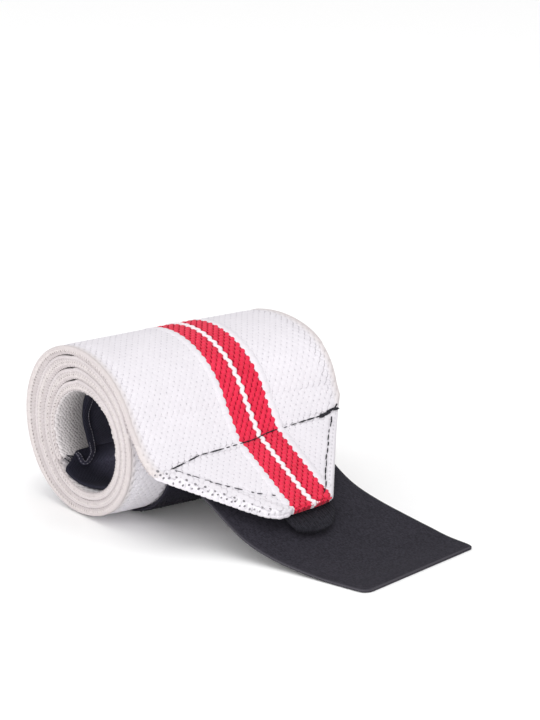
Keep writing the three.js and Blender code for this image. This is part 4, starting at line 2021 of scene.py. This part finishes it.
@dataclass
class LoopPatch:
    """The black loop patch on the outer turn, under the flap and round below the roll."""

    path: BandPath
    tools: Haberdashery
    start_turn: float = 2.58
    end_turn: float = 3.04
    near: float = -23.0
    width: float = 50.0
    thickness: float = 1.0
    gap: float = 0.3
    pile: int = 3600

    def place(self, turn: Array, y: Array, rise: Array) -> Array:
        """Points on the patch, a height above its lower face."""
        at = self.path.roll_point(turn, self.path.thickness / 2 + self.gap + rise)
        return pack(at[..., 0], y, np.maximum(at[..., 1], 0.03))

    def build(self) -> Piece:
        """Makes the patch's mesh and dresses it.

        Returns:
            The finished piece.
        """
        turns = np.linspace(self.start_turn, self.end_turn, 110)
        near = np.full_like(turns, self.near)
        v, share, inner = Ring(50, 16, 3).spread(near, near + self.width, np.full_like(turns, 0.4))
        rows = np.broadcast_to(turns[:, None], v.shape)
        length = self.path.length_at_turn(self.end_turn) - self.path.length_at_turn(self.start_turn)
        along = (rows - self.start_turn) / (self.end_turn - self.start_turn) * length
        points = self.place(rows, v, self.thickness / 2 * (1 + share))
        rim = 0.5 * np.exp(-((inner / 0.4) ** 2))
        piece = Loft(points, pack(along, v)).build("loop_pile_patch", PATCH_CLOTH.material(), rim)
        return hand_over(piece, "loop_pile", "loop_patch")

    def add_pile(self) -> Piece:
        """Sets small loops of brushed yarn all over the patch.

        Returns:
            The finished piece.
        """
        chance = np.random.default_rng(51)
        turn = chance.uniform(self.start_turn + 0.004, self.end_turn - 0.004, self.pile)
        y = chance.uniform(self.near + 0.6, self.near + self.width - 0.6, self.pile)
        at = self.place(turn, y, np.full(self.pile, self.thickness))
        angle = self.path.angle(turn)
        up = pack(np.cos(angle), np.zeros_like(angle), np.sin(angle))
        up = unit(up + chance.normal(0.0, 0.25, up.shape))
        spin = unit(chance.normal(0.0, 1.0, up.shape))
        keep = at[:, 2] > 1.0
        spots = Spots(at[keep], up[keep], spin[keep], np.ones((int(keep.sum()), 3)))
        return self.tools.hoops("pile_loops", spots, 0.26, 0.1, BLACK_YARN.material(), 0.4, (4, 5))


@dataclass
class ThumbLoop:
    """The black tape that lines the core, sewn over the band's inner end."""

    path: BandPath
    tools: Haberdashery
    thickness: float = 1.2
    gap: float = 0.3
    width: float = 26.0
    length: float = 105.0
    stitch_pitch: float = 1.05
    stitch_side: float = 0.68
    span: Pair = (0.014, 1.014)
    tuck: Pair = (0.955, 0.992)
    lip_height: float = 0.32
    lip_round: float = 1.02
    near_edge: tuple[Pair, ...] = (
        (0.014, -27.6), (0.06, -27.5), (0.137, -28.25), (0.23, -29.7), (0.40, -32.5), (0.60, -33.9),
        (0.72, -34.5), (0.823, -35.0), (0.862, -35.7), (0.899, -36.5), (0.9305, -37.3),
        (0.9555, -37.6), (0.966, -37.2), (0.9735, -36.2), (0.986, -34.8), (1.004, -33.2),
        (1.0115, -32.4), (1.014, -27.9),
    )
    lip: tuple[Quad, ...] = (
        (1.34, -31.2, 0.2, 1.2), (1.25, -28.8, 0.2, 1.2), (1.189, -27.3, 0.2, 1.2),
        (1.139, -27.45, 0.2, 1.2), (1.0996, -27.1, 0.2, 1.2), (1.0602, -26.55, 0.3, 1.2),
        (1.0137, -27.05, 0.5, 1.1), (0.977, -28.45, 0.9, 0.95), (0.9611, -29.95, 1.2, 0.8),
        (0.958, -31.25, 1.3, 0.75), (0.9687, -32.2, 1.2, 0.75), (0.9925, -33.35, 0.8, 0.7),
        (1.0039, -33.35, 0.6, 0.6),
    )

    def surface(self, turn: Array, lift: Array) -> Array:
        """Points (x, z) on the tape's mid surface, lifted towards the middle of the core.

        Args:
            turn: Turns round the core.
            lift: Height over the mid surface.

        Returns:
            Array (n, 2).
        """
        wound = np.where(turn > self.span[1], turn - 1.0, turn)
        climb = self.path.spacing(wound - 1.0) * smooth(wound, *self.tuck)
        offset = -(self.path.thickness / 2 + self.gap + self.thickness / 2) - climb - lift
        return self.path.roll_point(wound, offset)

    def place(self, turn: Array, y: Array, lift: Array) -> Array:
        """Points on the tape, lifted towards the middle of the core."""
        at = self.surface(turn, lift)
        return pack(at[..., 0], np.broadcast_to(y, at.shape[:-1]), at[..., 1])

    def build(self) -> Piece:
        """Makes the tape's mesh and dresses it.

        Returns:
            The finished piece.
        """
        start, end = self.span
        turns = np.concatenate([np.linspace(start, 0.93, 120), np.linspace(0.935, end, 40)])
        table = np.array(self.near_edge)
        near = np.interp(turns, table[:, 0], table[:, 1])
        base = np.interp(turns, (start, 0.2, 0.7, 0.95, end), (-28.0, -29.0, -35.6, -35.8, -31.5))
        v, share, inner = Ring(40, 30, 3).spread(near, base + self.width, np.full_like(turns, 0.5))
        rows = np.broadcast_to(turns[:, None], v.shape)
        wave = 0.35 * np.sin(rows * 41.0) * np.exp(-((inner - 3.0) ** 2) / 8.0)
        points = self.place(rows, v, wave - share * self.thickness / 2)
        # The tape takes its own dark edge colour in a band along the near edge that widens down the wall;
        # beyond it the body's painted light shows.
        reach = np.interp(rows, (0.0, 0.3, 0.55, 0.8), (5.0, 6.0, 17.0, 20.0))
        rim = 1 - smooth((v - near[:, None]) / reach, 0.3, 1.0)
        flat = pack(rows * self.length, v)
        piece = Loft(points, flat).build("thumb_tape", LOOP_CLOTH.material(), rim)
        return hand_over(piece, "loop_tape", "thumb_loop")

    def lip_line(self, step: float) -> tuple[Array, Array]:
        """Middle of the folded lip at even steps, and the way across it, both on the flat tape.

        Args:
            step: Distance from one reading to the next, in millimetres.

        Returns:
            Array (n, 4) of length along, place across, lift and half width, and array (n, 2) of
            unit vectors.
        """
        knots = np.array(self.lip) * (self.length, 1.0, 1.0, 1.0)
        line, _ = walk_line(catmull(knots, np.linspace(0.0, 1.0, 400)), step)
        way = unit(np.gradient(line[:, :2], axis=0))
        return line, pack(way[:, 1], -way[:, 0])

    def on_lip(self, line: Array, across: Array, share: Array, rise: Array) -> Array:
        """Points on the lip, a share of its half width to the side and raised above its middle."""
        at = line[:, :2] + across * (share * line[:, 3])[:, None]
        return self.place(at[:, 0] / self.length, at[:, 1], self.thickness / 2 + line[:, 2] + rise)

    def add_lip(self) -> Piece:
        """Makes the folded lip of the tape, which runs down the wall and turns back round the tuck.

        Returns:
            The finished piece.
        """
        line, across = self.lip_line(0.5)
        spread = np.linspace(-1.0, 1.0, 9)
        shares = np.concatenate([spread, spread[::-1]])
        upper = np.concatenate([np.ones(9), -np.ones(9)])
        rise = upper * self.lip_height * np.sqrt(np.maximum(self.lip_round - shares**2, 0.0))
        level = np.ones(len(line))
        ring = [self.on_lip(line, across, a * level, b * level) for a, b in zip(shares, rise)]
        points = np.stack(ring, axis=1)
        flat = np.stack(np.broadcast_arrays(line[:, :1], shares[None, :]), axis=-1)
        # The lip takes most of the tape's own dark edge colour.
        rim = np.full(points.shape[:-1], 0.75)
        piece = Loft(points, flat).build("tape_lip", LOOP_CLOTH.material(), rim)
        return hand_over(piece, "loop_tape")

    def add_stitches(self) -> Piece:
        """Sews the pale lines of stitches along the lip, two where it turns back.

        Returns:
            The finished piece.
        """
        line, across = self.lip_line(self.stitch_pitch)
        parts = []
        whole, turned_back = line[:, 0] > 0.0, line[:, 0] < 1.03 * self.length
        for share, rows in ((self.stitch_side, whole), (-self.stitch_side, turned_back)):
            here, side = line[rows], across[rows]
            level = np.full(len(here), share)
            rise = np.full(len(here), self.lip_height * math.sqrt(self.lip_round - share**2))
            at = self.on_lip(here, side, level, rise)
            up = self.on_lip(here, side, level, rise + 1.0) - at
            parts.append(Spots(at, unit(np.gradient(at, axis=0)), unit(up), np.ones((len(here), 3))))
        spots, thread = Spots.joined(parts), GREY_THREAD.material()
        return self.tools.grains("tape_stitches", spots, (0.8, 0.3, 0.26), thread, 0.15, (6, 6))

    def add_fray(self) -> Piece:
        """Lets threads stick out of the tape's cut end.

        Returns:
            The finished piece.
        """
        chance = np.random.default_rng(61)
        lines = []
        for share in np.linspace(0.0, 1.0, 7):
            turn = 0.976 + 0.016 * share + chance.normal(0.0, 0.001)
            y = -36.1 + 1.3 * share
            length = chance.uniform(0.8, 2.2)
            lean = chance.normal(0.006, 0.006)
            step = np.linspace(-0.3, 1.0, 6)
            lift = 0.4 + chance.uniform(0.0, 0.5) * np.clip(step, 0, 1)
            lines.append(self.place(turn + lean * step, y - length * step, lift))
        return self.tools.cords("tape_fray", lines, 0.13, BLACK_YARN.material(), 5)


@dataclass(frozen=True)
class Softbox:
    """One soft studio light."""

    name: str
    at: Triple
    size: float
    power: float


@dataclass
class Studio:
    """Floor, soft light and camera."""

    camera_at: Triple = (0.9523, -0.6594, 0.4012)
    target: Triple = (0.00984, -0.00221, 0.05517)
    lens: float = 200.0
    world: float = 0.70
    floor: Colour = (0.98, 0.98, 0.98)
    boxes: tuple[Softbox, ...] = (
        Softbox("front_softbox", (1.3, -0.6, 1.1), 1.5, 4.0),
        Softbox("low_softbox", (1.4, -0.75, 0.2), 1.0, 3.4),
        Softbox("left_softbox", (0.85, -1.25, 0.16), 0.5, 9.5),
        Softbox("side_softbox", (-0.7, -1.2, 0.5), 1.2, 5.0),
        Softbox("top_softbox", (0.2, 0.1, 1.75), 1.6, 12.0),
    )

    def build(self) -> None:
        """Sets up the floor, the light and the camera."""
        scene = bpy.context.scene
        scene.view_settings.view_transform = "Standard"
        world = bpy.data.worlds.new("studio")
        world.use_nodes = True
        world.node_tree.nodes["Background"].inputs["Color"].default_value = (1.0, 1.0, 1.0, 1.0)
        world.node_tree.nodes["Background"].inputs["Strength"].default_value = self.world
        scene.world = world
        self.add_floor()
        for box in self.boxes:
            self.add_light(box)
        self.add_camera()

    def add_floor(self) -> None:
        """Lays a plain pale floor."""
        mesh = bpy.data.meshes.new("floor")
        reach = 4.0
        corners = [(-reach, -reach, 0.0), (reach, -reach, 0.0), (reach, reach, 0.0), (-reach, reach, 0.0)]
        mesh.from_pydata(corners, [], [(0, 1, 2, 3)])
        floor = add_object("floor", mesh)
        g = Graph("floor_paint")
        g.finish(self.floor, 0.9)
        floor.data.materials.append(g.material)

    def add_light(self, box: Softbox) -> None:
        """Hangs one softbox that faces the wrap.

        Args:
            box: The softbox.
        """
        lamp = bpy.data.lights.new(box.name, "AREA")
        lamp.size = box.size
        lamp.energy = box.power
        holder = bpy.data.objects.new(box.name, lamp)
        holder.location = box.at
        way = Vector((0.0, 0.0, 0.03)) - Vector(box.at)
        holder.rotation_euler = way.to_track_quat("-Z", "Y").to_euler()
        bpy.context.scene.collection.objects.link(holder)

    def add_camera(self) -> None:
        """Sets the camera at the photo's angle."""
        lens = bpy.data.cameras.new("camera")
        lens.lens = self.lens
        lens.sensor_width = 36.0
        lens.clip_start = 0.01
        lens.clip_end = 50.0
        camera = bpy.data.objects.new("camera", lens)
        camera.location = self.camera_at
        way = Vector(self.target) - Vector(self.camera_at)
        camera.rotation_euler = way.to_track_quat("-Z", "Y").to_euler()
        bpy.context.scene.collection.objects.link(camera)
        bpy.context.scene.camera = camera


def main() -> None:
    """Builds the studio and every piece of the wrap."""
    logging.basicConfig(level=logging.INFO, format="%(name)s: %(message)s")
    Studio().build()
    path = BandPath()
    band = WrapBand(path, Haberdashery("woven_elastic"))
    woven = band.build()
    on_band = [*band.add_yarn(), band.add_line(), band.add_hem_beads(), *band.add_selvedge()]
    on_band += [*band.add_seams(), *band.add_tack(), *band.add_fray()]
    closure = ClosureStrap(Haberdashery("hook_strap"))
    strap = closure.build()
    hooks = closure.add_hooks()
    tab = TipTab().build()
    fastening = LoopPatch(path, Haberdashery("loop_pile"))
    patch = fastening.build()
    pile = fastening.add_pile()
    thumb = ThumbLoop(path, Haberdashery("loop_tape"))
    loop = thumb.build()
    on_loop = [thumb.add_lip(), thumb.add_stitches(), thumb.add_fray()]


if __name__ == "__main__":
    main()
